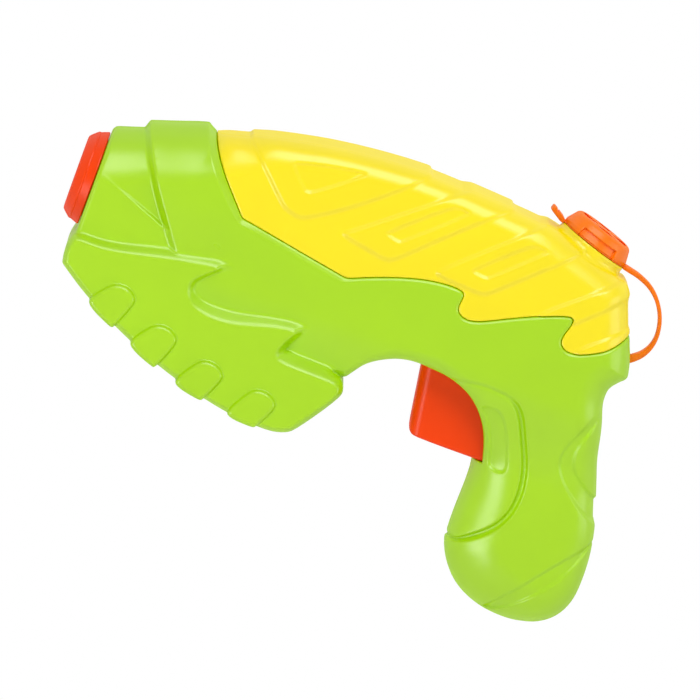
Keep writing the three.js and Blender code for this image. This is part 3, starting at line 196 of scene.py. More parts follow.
TRIGGER_POCKET = [(-55.6, 30.8), (-52, 2.2), (-10, 2.2), (-10, 22), (-31.6, 22), (-45.7, 30.8)]
TRIGGER_FRONT = [(-61.2, 43), (-57, 16), (-55.2, 4), (-53.7, -6)]
TRIGGER_ROUND = 6
TRIGGER_HALF = 9
TRIGGER_EDGE = 1.2
TRIGGER_POCKET_HALF = 7
LUG_AT = (-49.1, 32.1)
LUG_HALF = (2.1, 12.5, 0.9)
SPRING_SEAT_RADIUS = 6.5
SPRING_SEAT_X = -52.5
SPRING_SEAT_HALF = 2.5
SOCKET_RADIUS = 2.65  # for the piston's end
SOCKET_X = -51.3
SOCKET_HALF = 1.7
PUMP_Z = 14
SPRING_START = -49.2
SPRING_END = -22.8
SPRING_RADIUS = 4.7
SPRING_WIRE = 0.45
SPRING_TURNS = 7

# Body across the part
BARREL_HALF = 22.2
TANK_WIDER = 0.8
TANK_WIDENS = (-170, -110)
GRIP_HALF = 17.5
GRIP_BLEND = (0, 36)
MUZZLE_ROUND = 1.8
MUZZLE_BORE = 16.3
MUZZLE_END = -197.7
SEAM_GAP = 0.07  # on each side of the seam
ROOM_SPARE = 0.6
JAW_ROOM_SPARE = 0.8
SHELL_REACH = 28.8
SHELL_PAST = 1.2  # over the middle plane
TRIGGER_SLOT = ((-62, 0.2), (-14, 31.2))
STEM = [(21.2, 60.3), (15, 55)]
STEM_HALF = 3.4
BOSS_RADIUS = {-1: 3.4, 1: 4.4}
BOSS_ROOT = 1
SCREW_BORE = 1.55
SCREW_REACH = 9
HEAD_BORE = 3.1
HEAD_FLOOR = 8
TANK_REACH = 25.8
TANK_FRONT = -172
TANK_LOW = 43
LIP_DROP = 4  # how far the tank reaches below the seam, inside the shell
LIP_SHARPER = 2  # by how much its edges are rounded less than the body's
ROOM_SHARPER = 4
ANCHOR_ROOM = (17.5, 56.5)
ANCHOR_ROOM_RADIUS = 7
ANCHOR_ROOM_HALF = 6.5

# Relief of the shell: heights, widths, and spans of x or z over which they fade
COLLAR_RISE = 0.7
COLLAR_FRONT_RISE = 1.9
COLLAR_FRONT_FADE = (-166, -138)
COLLAR_CORNER_RISE = 0.6
COLLAR_CORNER_GROW = (-188, -168)
COLLAR_CORNER_FADE = (-160, -135)
COLLAR_LOW_SHARE = 0.55
COLLAR_LOW_FADE = (-2, 24)
COLLAR_FOOT_FADE = (12, 34)
COLLAR_BEVEL = 2.5
SEAM_BEVEL = 1.1
SEAM_BEVEL_FRONT = 1.3
SEAM_BEVEL_FRONT_FADE = (-103, -96)
SEAM_BEVEL_TIP = 0.6
SEAM_BEVEL_TIP_FADE = (-160, -145)
FACET_DEPTH = 1.3
FACET_GROW = (-208, -178)
FACET_FADE = (1, 22)
GRIP_STEP = 0.5
GRIP_STEP_FRONT = [(-70, -34), (-70, 27)]  # closes the groove's line to an outline
GRIP_STEP_GROW = (20, 30)
GROOVE_DEPTH = 0.5
GROOVE_BROADER = (-26, -15)
GROOVE_HALF = 0.25
GROOVE_WIDENS = 0.4
GROOVE_DEEPENS = 1.0
GROOVE_WALL = 0.7
SLOT_DEPTH = 1.0
BAND_DEPTH = 1.0
BAND_FADE = (28, 36)
FOOT_BAND_DEPTH = 0.9
BAND_BEVEL = 0.9
LINE_SPREAD = 0.4  # how far a sunk form reaches past its outline

ROUNDING_EASE = 30  # how softly one place's rounding passes into the next
ROUNDING_POWER = 1.5
ROUNDING = [  # radius of the body's edge at places on its outline: x, z, radius
    (-205, 77, 25), (-190, 81, 25), (-172, 86, 25), (-160, 90, 14), (-140, 95, 9.5), (-120, 99, 8.5),
    (-100, 101, 8.5), (-70, 102, 8.5), (-40, 100, 9.5), (-10, 94, 12), (10, 82, 12), (18, 60, 12),
    (15, 42, 11), (20, 20, 11), (28, -10, 11), (31, -30, 12), (22, -50, 16), (0, -54, 24),
    (-20, -45, 30), (-26, -25, 30), (-26, -12, 26), (-27, -1, 20), (-29, 8, 13), (-36, 19, 9),
    (-48, 28, 6), (-66, 29, 4), (-80, 23, 3), (-86, 13, 3), (-110, 10, 4), (-150, 17, 4),
    (-206, 22, 4),
]

BARREL_FRONT = -206.5
BARREL_Z = 53.75
BEZEL = [  # from the axis, along x
    (4.2, -209.5), (4.2, -209.5), (10.6, -210.6), (11.2, -213.8), (11.8, -214.5), (14.6, -214.5),
    (15.6, -214.1), (18, -211.4), (18.3, -210.9), (18.2, -210.4), (18.2, -210.4), (19.2, -207.8),
    (19.4, -207.2), (19.1, -206.8), (18.7, -206.7), (16, -206.7), (16, -206.7), (16, -198), (16, -198),
    (14, -198), (14, -198), (14, -206.4), (14, -206.4), (7, -206.4), (7, -206.4), (7, -200.5),
    (7, -200.5), (4.2, -200.5), (4.2, -200.5),
]
JET = [
    (0.7, -211.5), (0.7, -211.5), (2.4, -211.5), (4, -210), (4, -200.3), (4, -200.3), (6.5, -200.2),
    (6.5, -200.2), (6.5, -198.2), (6.5, -198.2), (2, -198.2), (2, -198.2), (2, -182), (2, -182),
    (0.7, -182), (0.7, -182),
]

# Cap, ring and neck, about an axis that leans to the rear; heights are along it
CAP_AT = (-11, 95.7)
CAP_LEAN = math.radians(18)
CAP_RADIUS = 14.9
CAP_TAPER = 0.42  # narrower per height over its middle
CAP_MIDDLE = 3.4
CAP_FOOT = 2
CAP_TOP = 9
CAP_EDGE = 1.4
SKIRT_RADIUS = 12.4
SKIRT_BORE = 11
SKIRT_BOTTOM = -1.2
SKIRT_ROOT = 0.6  # sunk into the cap
SKIRT_ROOM = 1.3  # round the skirt, in the tank
CAP_CEILING = 6.7
NOTCH_FLOOR = 12.7
NOTCH_LEAN = 0.35  # wider per height below its top
NOTCH_HALF = math.radians(35)
NOTCH_TOP = 5.5
WEDGE_DEPTH = 1.9
WEDGE_SPREAD = 0.75  # half width gained per length
WEDGE_REACH = 10.8
WEDGE_START = 3
WEDGE_TIP = 1  # half width at its start
RING_BORE = 12.8
RING_RADIUS = 14.8
RING_FOOT = 1.44
RING_TOP = 1.98
TAB_REACH = 8.6
TAB_RISE = math.radians(15)
TAB_HALF = 3.5
TAB_HALF_THICK = 0.75
TAB_END_THICKER = 0.4
TAB_THICKENS = (0.8, 3)
TAB_SUNK = 0.8
TAB_HEIGHT = 1.1
TAB_BULGE = 0.06
TAB_GROOVE_AT = 5.6
TAB_GROOVE_HALF = 0.35
TAB_GROOVE_FLOOR = 1.6
STUB_HEIGHT = 1.8
STUB_HALF_THICK = 0.7
STUB_HALF_LENGTH = 1.4
STUB_OUT = 0.8
SEAT_RADIUS = 15.1
SEAT_TOP = 1.4
SEAT_DEPTH = 1.8
SEAT_LENGTH = 9
SEAT_EASE = 2
SEAT_EASE_END = 24  # from the axis
NECK_BORE = 8
NECK_RADIUS = 9.6
NECK_TOP = 5.8
NECK_FOOT = -3.6
NECK_DEPTH = 16
NECK_SUNK = -8
NECK_EDGE = 0.4
THREAD_PITCH = 3.5
THREAD_TURNS = 1.25
THREAD_START = 0.7
THREAD_HALF = 0.65
THREAD_HEIGHT = 0.9
THREAD_ROOT = 0.4
STRAP = [
    (3.4, 92.9), (6.4, 92.2), (11, 91.2), (16.8, 88.6), (21.3, 84.4), (24.7, 78.6), (26.2, 72),
    (25.7, 66.9), (23.6, 62.5), (20.4, 59.5), (16.5, 57),
]
STRAP_HALF_WIDTH = 3
STRAP_HALF_THICK = 0.8
STRAP_CAP_THICK = 1.1  # where it leaves the ring
STRAP_ROOT_THICK = 1.6  # where it enters the shell
STRAP_SQUARE = 0.35  # power that squares the section off
STRAP_THINS = (0.1, 0.5)  # shares of its length
STRAP_THICKENS = (0.6, 0.95)
STRAP_TIP = (0, 0.06)
STRAP_TIP_SHARE = 0.4  # of the thickness
SCREWS = [(-196, 22), (-150, 4), (-105, -4), (-90, 33), (-24, 33), (3, -12), (6, -38)]


# Curves and distances in the side plane

def rounded(points, closed=True, times=2):
    """Outline with its corners cut, so that it runs as a smooth curve."""
    line = np.array(points, float)
    for _ in range(times):
        after = np.roll(line, -1, axis=0) if closed else line[1:]
        here = line if closed else line[:-1]
        pair = [0.75 * here + 0.25 * after, 0.25 * here + 0.75 * after]
        cut = np.stack(pair, axis=1).reshape(-1, 2)
        line = cut if closed else np.vstack([line[:1], cut, line[-1:]])
    return line


def away(x, z, line, closed=False):
    """Distance from a line."""
    best = np.full(x.shape, FAR, np.float32)
    ends = np.roll(line, -1, axis=0) if closed else line[1:]
    for (ax, az), (bx, bz) in zip(line, ends):
        ux, uz = bx - ax, bz - az
        size = ux * ux + uz * uz
        if size < TINY:
            continue
        t = np.clip(((x - ax) * ux + (z - az) * uz) / size, 0, 1)
        np.minimum(best, (x - ax - t * ux) ** 2 + (z - az - t * uz) ** 2, out=best)
    return np.sqrt(best)


def within(x, z, line):
    """Whether points lie in a closed outline."""
    odd = np.zeros(x.shape, bool)
    for (ax, az), (bx, bz) in zip(line, np.roll(line, -1, axis=0)):
        if az == bz:
            continue
        odd ^= ((az > z) != (bz > z)) & (x < (bx - ax) * (z - az) / (bz - az) + ax)
    return odd


def depth(x, z, outline, times=2):
    """Distance into an outline, below zero outside it."""
    line = rounded(outline, True, times)
    return np.where(within(x, z, line), 1, -1).astype(np.float32) * away(x, z, line, True)


def ramp(value, start, end):
    """Smooth rise from 0 to 1."""
    t = np.clip((value - start) / (end - start), 0, 1)
    return t * t * (3 - 2 * t)


def bevel(value, width, soft=0.5):
    """Straight rise from 0 to 1 over a width, with its two corners eased."""
    return soft_min(soft_max(value / width, 0, soft / width), 1, soft / width)


def soft_max(a, b, ease):
    """Larger of two fields, with the crease between them rounded off."""
    near = np.maximum(ease - np.abs(a - b), 0) / ease
    return np.maximum(a, b) + near * near * ease * 0.25


def soft_min(a, b, ease):
    return -soft_max(-a, -b, ease)


def crown(inward, y, half, radius):
    """Field of an outline pulled across the part, with its edges rounded; below zero inside."""
    deep = np.minimum(radius, half)
    u = 1 - inward / radius
    v = 1 + (np.abs(y) - half) / deep
    over = np.sqrt(np.maximum(u, 0) ** 2 + np.maximum(v, 0) ** 2)
    return deep * (over + np.minimum(np.maximum(u, v), 0) - 1)


# Meshes from fields

NOWHERE = 9.0  # field well outside a piece
LEAST_SLOPE = 1e-6
MOST_MOVE = 0.5  # of a point in one go, in lattice steps


def sample(field, spots):
    """Field between the points of its lattice."""
    base = np.clip(np.floor(spots).astype(int), 0, np.array(field.shape) - 2)
    part = spots - base
    total = np.zeros(len(spots))
    for corner in range(8):
        bits = [(corner >> k) & 1 for k in range(3)]
        weight = np.ones(len(spots))
        for k in range(3):
            weight = weight * (part[:, k] if bits[k] else 1 - part[:, k])
        total += weight * field[base[:, 0] + bits[0], base[:, 1] + bits[1], base[:, 2] + bits[2]]
    return total


def slope(field, spots, reach=0.6):
    """Direction and rate in which the field grows."""
    grade = np.zeros_like(spots)
    for k in range(3):
        shift = np.zeros(3)
        shift[k] = reach
        grade[:, k] = (sample(field, spots + shift) - sample(field, spots - shift)) / (2 * reach)
    return grade


def settled(field, spots, times):
    """Points moved onto the field's surface."""
    for _ in range(times):
        grade = slope(field, spots)
        size = np.maximum((grade ** 2).sum(1), LEAST_SLOPE)
        move = np.clip(sample(field, spots) / size, -MOST_MOVE, MOST_MOVE)
        spots = spots - grade * move[:, None]
    return spots


def net(field):
    """Points and four-sided faces of the surface where the field is zero, in lattice steps."""
    inside = field < 0
    cells = np.array(field.shape) - 1
    total = int(np.prod(cells))
    counts = np.zeros(total)
    sums = np.zeros((3, total))
    faces = []
    for axis in range(3):
        low = tuple(slice(0, -1) if k == axis else slice(None) for k in range(3))
        high = tuple(slice(1, None) if k == axis else slice(None) for k in range(3))
        cross = inside[low] != inside[high]
        spots = np.argwhere(cross)
        before = field[low][cross].astype(float)
        after = field[high][cross].astype(float)
        points = spots.astype(float)
        points[:, axis] += before / (before - after)
        u, v = (axis + 1) % 3, (axis + 2) % 3
        around = []
        for du, dv in ((0, 0), (-1, 0), (-1, -1), (0, -1)):
            cell = spots.copy()
            cell[:, u] += du
            cell[:, v] += dv
            around.append(np.ravel_multi_index(cell.T, cells))
        for ids in around:
            counts += np.bincount(ids, minlength=total)
            for k in range(3):
                sums[k] += np.bincount(ids, weights=points[:, k], minlength=total)
        ring = np.stack(around, axis=1)
        outward = inside[low][cross]
        ring[~outward] = ring[~outward][:, ::-1]
        faces.append(ring)
    used = counts > 0
    number = np.cumsum(used) - 1
    points = (sums[:, used] / counts[used]).T
    return points, number[np.vstack(faces)]


def mesh_from(name, points, faces, normals=None):
    mesh = bpy.data.meshes.new(name)
    sides = faces.shape[1]
    mesh.vertices.add(len(points))
    mesh.vertices.foreach_set("co", np.asarray(points, np.float32).ravel())
    mesh.loops.add(faces.size)
    mesh.loops.foreach_set("vertex_index", faces.astype(np.int32).ravel())
    mesh.polygons.add(len(faces))
    mesh.polygons.foreach_set("loop_start", np.arange(0, faces.size, sides, dtype=np.int32))
    mesh.polygons.foreach_set("use_smooth", np.ones(len(faces), bool))
    mesh.update(calc_edges=True)
    mesh.validate()
    if normals is not None:
        mesh.normals_split_custom_set_from_vertices([tuple(n) for n in normals])
    return mesh


def thinned(points, faces, share):
    """Fewer faces where the surface is plain."""
    holder = bpy.data.objects.new("thinned", mesh_from("thinned", points, faces))
    bpy.context.scene.collection.objects.link(holder)
    step = holder.modifiers.new("fewer", "DECIMATE")
    step.ratio = share
    step.use_collapse_triangulate = True
    shown = holder.evaluated_get(bpy.context.evaluated_depsgraph_get()).to_mesh()
    spots = np.zeros(len(shown.vertices) * 3, np.float32)
    shown.vertices.foreach_get("co", spots)
    corners = np.zeros(len(shown.loops), np.int32)
    shown.loops.foreach_get("vertex_index", corners)
    spots, corners = spots.reshape(-1, 3).astype(float), corners.reshape(-1, 3)
    mesh = holder.data
    bpy.data.objects.remove(holder)
    bpy.data.meshes.remove(mesh)
    return spots, corners


def piece_from(name, field, low, step, share, place=None):
    """Object whose surface is where the field is zero; low is the lattice's first corner."""
    points, faces = net(field)
    points = settled(field, points, 2)
    points, faces = thinned(points, faces, share)
    points = settled(field, points, 1)
    normals = slope(field, points)
    normals /= np.maximum(np.linalg.norm(normals, axis=1), TINY)[:, None]
    points = points * step + np.array(low)
    if place is not None:
        turn = np.array(place.to_3x3())
        points = points @ turn.T + np.array(place.translation)
        normals = normals @ turn.T
    return object_from(name, mesh_from(name, points * MM, faces, normals))


def object_from(name, mesh):
    thing = bpy.data.objects.new(name, mesh)
    bpy.context.scene.collection.objects.link(thing)
    return thing


def span(low, high, step=STEP):
    return np.arange(low, high + step, step, dtype=np.float32)


# Maps of the side view that the moulded pieces share

XS = span(-211.2, 33.6)
ZS = span(-60, 106.8)
X, Z = np.meshgrid(XS, ZS, indexing="ij")

body = depth(X, Z, BODY)
trigger_gap = depth(X, Z, TRIGGER_GAP)
seam = depth(X, Z, SEAM)  # above zero on the tank's side
jaw_foot = depth(X, Z, lifted([row[:2] for row in JAW]))
jaw_face = depth(X, Z, lifted([row[2:] for row in JAW]))

weights = [
    1 / ((X - x) ** 2 + (Z - z) ** 2 + ROUNDING_EASE) ** ROUNDING_POWER for x, z, _ in ROUNDING
]
radius = sum(w * r for w, (_, _, r) in zip(weights, ROUNDING)) / sum(weights)
in_grip = 1 - ramp(Z, *GRIP_BLEND)
half = (BARREL_HALF + TANK_WIDER * ramp(X, *TANK_WIDENS)) * (1 - in_grip) + GRIP_HALF * in_grip


def side_of(line, x, z):
    """Distance from an open line, above zero on its left as it runs."""
    line = rounded(line, False)
    best = np.full(x.shape, FAR, np.float32)
    sign = np.ones(x.shape, np.float32)
    for (ax, az), (bx, bz) in zip(line[:-1], line[1:]):
        ux, uz = bx - ax, bz - az
        t = np.clip(((x - ax) * ux + (z - az) * uz) / (ux * ux + uz * uz), 0, 1)
        gap = (x - ax - t * ux) ** 2 + (z - az - t * uz) ** 2
        nearer = gap < best
        best = np.where(nearer, gap, best)
        sign = np.where(nearer, np.sign(ux * (z - az) - uz * (x - ax)), sign)
    return sign * np.sqrt(best)


def shell_relief():
    """How far the shell's outside stands proud of the plain body."""
    behind = side_of(COLLAR_FRONT, X, Z)
    above_crease = side_of(CREASE, X, Z)
    forward = 1 - ramp(X, *COLLAR_FRONT_FADE)
    corner = ramp(X, *COLLAR_CORNER_GROW) * (1 - ramp(X, *COLLAR_CORNER_FADE))
    raised = COLLAR_RISE + COLLAR_FRONT_RISE * forward + COLLAR_CORNER_RISE * corner
    over_ridge = ramp(side_of(JAW_RIDGE, X, Z), *COLLAR_LOW_FADE)
    by_jaw = COLLAR_LOW_SHARE + (1 - COLLAR_LOW_SHARE) * over_ridge
    chamfer = (SEAM_BEVEL + SEAM_BEVEL_FRONT * (1 - ramp(X, *SEAM_BEVEL_FRONT_FADE))
               + SEAM_BEVEL_TIP * (1 - ramp(X, *SEAM_BEVEL_TIP_FADE)))
    edge = bevel(behind, COLLAR_BEVEL, 0.3)
    collar = raised * by_jaw * edge * bevel(-seam, chamfer, 0.2)
    facet = (FACET_DEPTH * ramp(X, *FACET_GROW) * bevel(above_crease, 1.0, 0.3)
             * (1 - ramp(above_crease, *FACET_FADE)))
    relief = collar * ramp(Z, *COLLAR_FOOT_FADE) - facet * (1 - edge)
    front_of_grip = depth(X, Z, GROOVE + GRIP_STEP_FRONT)
    relief = relief - GRIP_STEP * ramp(front_of_grip, -0.5, 0.5) * ramp(-X, *GRIP_STEP_GROW)
    groove = away(X, Z, rounded(GROOVE, False))
    broad = ramp(X, *GROOVE_BROADER)
    outside_groove = bevel(groove - GROOVE_HALF - GROOVE_WIDENS * broad, GROOVE_WALL, 0.25)
    relief = relief - (GROOVE_DEPTH + GROOVE_DEEPENS * broad) * (1 - outside_groove)
    in_slot = bevel(depth(X, Z, GRIP_SLOT) + LINE_SPREAD, 0.8, 0.3)
    in_rear_band = bevel(depth(X, Z, REAR_BAND) + LINE_SPREAD, BAND_BEVEL, 0.3)
    in_foot_band = bevel(depth(X, Z, FOOT_BAND) + LINE_SPREAD, BAND_BEVEL, 0.3)
    relief = relief - SLOT_DEPTH * in_slot
    relief = relief - BAND_DEPTH * in_rear_band * (1 - ramp(Z, *BAND_FADE))
    relief = relief - FOOT_BAND_DEPTH * in_foot_band
    return relief


def pad_outline(x, z, tilt):
    crest = [(x + dx, z + dz) for dx, dz in PAD_CROWN]
    foot = [(x + dx, z - PAD_DROP + dz + tilt * (dx - PAD_HINGE)) for dx, dz in PAD_FOOT]
    return crest + foot


relief = shell_relief()
pads = np.max([depth(X, Z, lifted(pad_outline(*pad))) for pad in PADS], axis=0)
jaw_bevel = np.maximum(jaw_foot - jaw_face, JAW_LEAST_BEVEL)
jaw_share = np.maximum(soft_min(jaw_foot / jaw_bevel, 1, 0.35), -2)
in_body = ramp(np.minimum(body, X - BARREL_FRONT), *JAW_SKIRT_FADE)
jaw_skirt = jaw_foot + JAW_SKIRT * in_body  # runs on into the body behind it


def shell_field(side):
    """Field of one half; side is -1 for the left half and 1 for the right."""
    ys = span(-SHELL_REACH, SHELL_PAST) if side < 0 else span(-SHELL_PAST, SHELL_REACH)
    x, y, z = XS[:, None, None], ys[None, :, None], ZS[None, None, :]
    maps = (body, half, radius, relief, seam, jaw_foot, jaw_skirt, jaw_share, pads, trigger_gap)
    inward, wide, round_by, proud, tank_side, foot, skirt, share, pad, gap = [m[:, None, :] for m in maps]
    pod = crown(inward, y, wide, round_by) - proud
    front = BARREL_FRONT - x
    over = np.sqrt(np.maximum(pod + MUZZLE_ROUND, 0) ** 2 + np.maximum(front + MUZZLE_ROUND, 0) ** 2)
    pod = over + np.minimum(np.maximum(pod, front) + MUZZLE_ROUND, 0) - MUZZLE_ROUND
    panel_side = JAW_LEAN * (np.abs(y) - (JAW_HALF - JAW_BEVEL) - JAW_BEVEL * share)
    panel = soft_max(panel_side, -skirt, 0.8)
    solid = soft_min(pod, panel, 0.9)
    solid = soft_min(solid, crown(pad, y, PAD_HALF, PAD_ROUND), 0.4)
    solid = soft_max(soft_max(solid, gap, 0.6), tank_side + SEAM_GAP, 0.4)
    room = crown(inward - WALL - ROOM_SPARE, y, wide - WALL - ROOM_SPARE, np.maximum(round_by - WALL, 1))
    room = np.maximum(room, np.maximum(BARREL_FRONT + WALL - x, gap + WALL))
    jaw_wall = np.abs(y) - (JAW_HALF - WALL - JAW_BEVEL * (1 - share))
    jaw_room = np.maximum(WALL + JAW_ROOM_SPARE - foot, jaw_wall)
    muzzle = np.maximum(np.sqrt(y ** 2 + (z - BARREL_Z) ** 2) - MUZZLE_BORE, x - MUZZLE_END)
    (slot_front, slot_floor), (slot_back, slot_roof) = TRIGGER_SLOT
    slot_along = np.maximum(slot_front - x, x - slot_back)
    slot_upward = np.maximum(slot_floor - z, z - slot_roof)
    slot = np.maximum(np.maximum(slot_along, slot_upward), np.abs(y) - (TRIGGER_HALF + FIT))
    stem = away(X, Z, np.array(STEM))[:, None, :] - STRAP_ROOT_THICK - FIT
    stem = np.maximum(stem, np.abs(y) - STEM_HALF)
    solid = np.maximum(solid, -np.minimum.reduce([room, jaw_room, muzzle, slot, stem]))
    for sx, sz in SCREWS:
        spread = np.sqrt((x - sx) ** 2 + (z - sz) ** 2)
        boss = np.maximum(spread - BOSS_RADIUS[side], np.minimum(room, jaw_room) - BOSS_ROOT)
        solid = np.minimum(solid, boss)
        solid = np.maximum(solid, -np.maximum(spread - SCREW_BORE, np.abs(y) - SCREW_REACH))
        if side > 0:
            well = np.maximum(spread - HEAD_BORE, HEAD_FLOOR - y)
            solid = soft_max(solid, -well, 0.4)
    return np.maximum(solid, PARTING - side * y).astype(np.float32), (XS[0], ys[0], ZS[0])


# Materials

CLOUD_SCALE = 28
SKIN_SCALE = 1500
SKIN_DEPTH = 0.0002
GLOSS_SPREAD = (-0.03, 0.05)  # of the roughness
GLANCE = (0.35, 0.8)  # from facing the camera to glancing, where the gloss gives way
GLANCE_SHARE = 0.015  # of the gloss that is left there


def add_node(tree, kind, values=None):
    """Shader node of a tree, with some of its inputs set."""
    made = tree.nodes.new("ShaderNode" + kind)
    for socket, value in (values or {}).items():
        made.inputs[socket].default_value = value
    return made


def join(source, way_out, target, way_in):
    """Link between the sockets of two nodes."""
    source.id_data.links.new(source.outputs[way_out], target.inputs[way_in])


def add_colour_mix(tree):
    made = add_node(tree, "Mix")
    made.data_type = "RGBA"
    return made


def plastic(name, colour, rough, shine=0.5, grain=0.02, cloudy=0.05, recess_painted_shade=None):
    """Moulded plastic: slight clouding of the colour, uneven gloss and a fine skin texture; given a darker
    colour, it paints shade into recesses that a point attribute marks.
    """
    made = bpy.data.materials.new(name)
    made.use_nodes = True
    tree = made.node_tree
    shader = tree.nodes["Principled BSDF"]
    where = add_node(tree, "TexCoord")
    cloud = add_node(tree, "TexNoise", {"Scale": CLOUD_SCALE, "Detail": 3})
    fine = add_node(tree, "TexNoise", {"Scale": SKIN_SCALE, "Detail": 2})
    mix = add_colour_mix(tree)
    mix.inputs["A"].default_value = (*[c * (1 - cloudy) for c in colour], 1)
    mix.inputs["B"].default_value = (*[min(c * (1 + cloudy), 1) for c in colour], 1)
    dull, duller = [rough + change for change in GLOSS_SPREAD]
    gloss = add_node(tree, "MapRange", {"To Min": dull, "To Max": duller})
    bump = add_node(tree, "Bump", {"Strength": grain, "Distance": SKIN_DEPTH})
    join(where, "Object", cloud, "Vector")
    join(where, "Object", fine, "Vector")
    join(cloud, "Fac", mix, "Factor")
    join(cloud, "Fac", gloss, "Value")
    join(fine, "Fac", bump, "Height")
    join(mix, "Result", shader, "Base Color")
    join(gloss, "Result", shader, "Roughness")
    join(bump, "Normal", shader, "Normal")
    glance = add_node(tree, "LayerWeight")
    fading = add_node(tree, "MapRange", {
        "From Min": GLANCE[0], "From Max": GLANCE[1], "To Min": shine, "To Max": GLANCE_SHARE * shine,
    })
    join(glance, "Facing", fading, "Value")
    join(fading, "Result", shader, "Specular IOR Level")
    # Painted shade: where the point attribute marks a recess, the darker colour is mixed in to stand in
    # for the shadow there.
    if recess_painted_shade:
        deep = add_node(tree, "Attribute")
        deep.attribute_name = "recess_painted_shade"
        shade_paint_mix = add_colour_mix(tree)
        shade_paint_mix.inputs["B"].default_value = (*recess_painted_shade, 1)
        join(deep, "Fac", shade_paint_mix, "Factor")
        join(mix, "Result", shade_paint_mix, "A")
        join(shade_paint_mix, "Result", shader, "Base Color")
    return made


def from_screen(r, g, b):
    """Linear colour from screen values of 0 to 255."""
    return tuple(((c / 255 + 0.055) / 1.055) ** 2.4 if c > 10 else c / 3294.6 for c in (r, g, b))


GREEN = plastic("green_plastic", from_screen(165, 214, 0), 0.28, 0.6)
YELLOW = plastic("yellow_plastic", from_screen(247, 226, 0), 0.28, 0.6)
ORANGE = plastic("red_orange_plastic", from_screen(245, 66, 0), 0.28, 0.22)
# The deep red given here is painted shade, mixed into the cap's top wedge recesses to stand in for their
# shadow.
CAP_ORANGE = plastic("cap_plastic", from_screen(255, 122, 0), 0.3, 0.3, recess_painted_shade=from_screen(232, 40, 0))
WHITE = plastic("white_plastic", from_screen(228, 228, 222), 0.42)
TUBE = plastic("clear_tube", from_screen(214, 224, 228), 0.25)
RUBBER = plastic("black_rubber", from_screen(36, 36, 36), 0.65, 0.4, 0.1)
STEEL = plastic("steel", from_screen(178, 180, 184), 0.32)
STEEL.node_tree.nodes["Principled BSDF"].inputs["Metallic"].default_value = 1


def finish_piece(thing, material, slot, body_name, *nodes):
    """Material, body and stood-for nodes of a piece."""
    thing.data.materials.clear()
    thing.data.materials.append(material)
    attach(thing, body_name)
    if nodes:
        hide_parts(*nodes)


# Shell halves

SHELL_SHARE = 0.3  # of the lattice's faces that are kept
CAP_SHARE = 0.35
NECK_SHARE = 0.4

for side, name in ((-1, "left_shell"), (1, "right_shell")):
    field, low = shell_field(side)
    half_piece = piece_from(name + "_moulding", field, low, STEP, SHELL_SHARE)
    finish_piece(half_piece, GREEN, "green_plastic", "frame", name)


# Tank

def tank_relief():
    """How far the raised panels stand out of the tank's flank, less the slots in them."""
    panels = [depth(X, Z, lifted(panel)) + PANEL_SPREAD for panel in PANELS]
    recesses = [depth(X, Z, lifted(slot)) + LINE_SPREAD for slot in RECESSES]
    raised = np.max([bevel(panel, PANEL_BEVEL, 0.4) for panel in panels], axis=0)
    slots = np.max([bevel(slot, RECESS_BEVEL, 0.4) for slot in recesses], axis=0)
    return PANEL_RAISE * raised * (1 - PANEL_REAR_LOSS * ramp(X, *PANEL_REAR)) - RECESS_DEPTH * slots


def on_cap_axis(x, z):
    """Distance across the cap's axis in the side plane, and height along it."""
    dx, dz = x - CAP_AT[0], z - CAP_AT[1]
    across = dx * math.cos(CAP_LEAN) - dz * math.sin(CAP_LEAN)
    return across, dx * math.sin(CAP_LEAN) + dz * math.cos(CAP_LEAN)


def tank_field():
    start, floor = np.searchsorted(XS, TANK_FRONT), np.searchsorted(ZS, TANK_LOW)
    ys = span(-TANK_REACH, TANK_REACH)
    xs, zs = XS[start:], ZS[floor:]
    x, y, z = xs[:, None, None], ys[None, :, None], zs[None, None, :]
    maps = (body, half, radius, tank_relief(), seam)
    inward, wide, round_by, proud, above = [m[start:, None, floor:] for m in maps]
    across, height = on_cap_axis(x, z)
    spread = np.sqrt(across ** 2 + y ** 2)
    flank = crown(inward, y, wide, round_by) - proud
    seat = np.maximum(np.maximum(spread - SEAT_RADIUS, height - SEAT_TOP), -SEAT_LENGTH - height)
    outside = soft_max(soft_min(flank, seat, SEAT_EASE), height - SEAT_TOP, 0.4)
    outside = np.where(spread < SEAT_EASE_END, outside, flank)
    outside = soft_max(outside, SEAM_GAP - above, 0.4)
    lip = crown(inward - WALL - FIT, y, wide - WALL - FIT, np.maximum(round_by - LIP_SHARPER, 1))
    lip = np.maximum(lip, -LIP_DROP - above)
    thick = WALL + FIT + TANK_WALL
    room = crown(inward - thick, y, wide - thick, np.maximum(round_by - ROOM_SHARPER, 1))
    room = np.maximum(room, TANK_WALL - LIP_DROP - above)
    solid = np.maximum(np.minimum(outside, lip), -room)
    well = np.maximum(spread - SKIRT_RADIUS - SKIRT_ROOM, -SEAT_DEPTH - height)
    bore = np.maximum(spread - NECK_BORE, -NECK_DEPTH - height)
    from_stem = np.sqrt((x - ANCHOR_ROOM[0]) ** 2 + (z - ANCHOR_ROOM[1]) ** 2)
    stem = np.maximum(from_stem - ANCHOR_ROOM_RADIUS, np.abs(y) - ANCHOR_ROOM_HALF)
    for cut in (well, bore, stem):
        solid = np.maximum(solid, -cut)
    return solid.astype(np.float32), (xs[0], ys[0], zs[0])


field, low = tank_field()
tank = piece_from("water_tank_moulding", field, low, STEP, SHELL_SHARE)
finish_piece(tank, YELLOW, "yellow_plastic", "frame", "water_tank")


# Cap, ring and neck, in the cap's own frame

CAP_PLACE = Matrix.Translation((CAP_AT[0], 0, CAP_AT[1])) @ Matrix.Rotation(CAP_LEAN, 4, "Y")


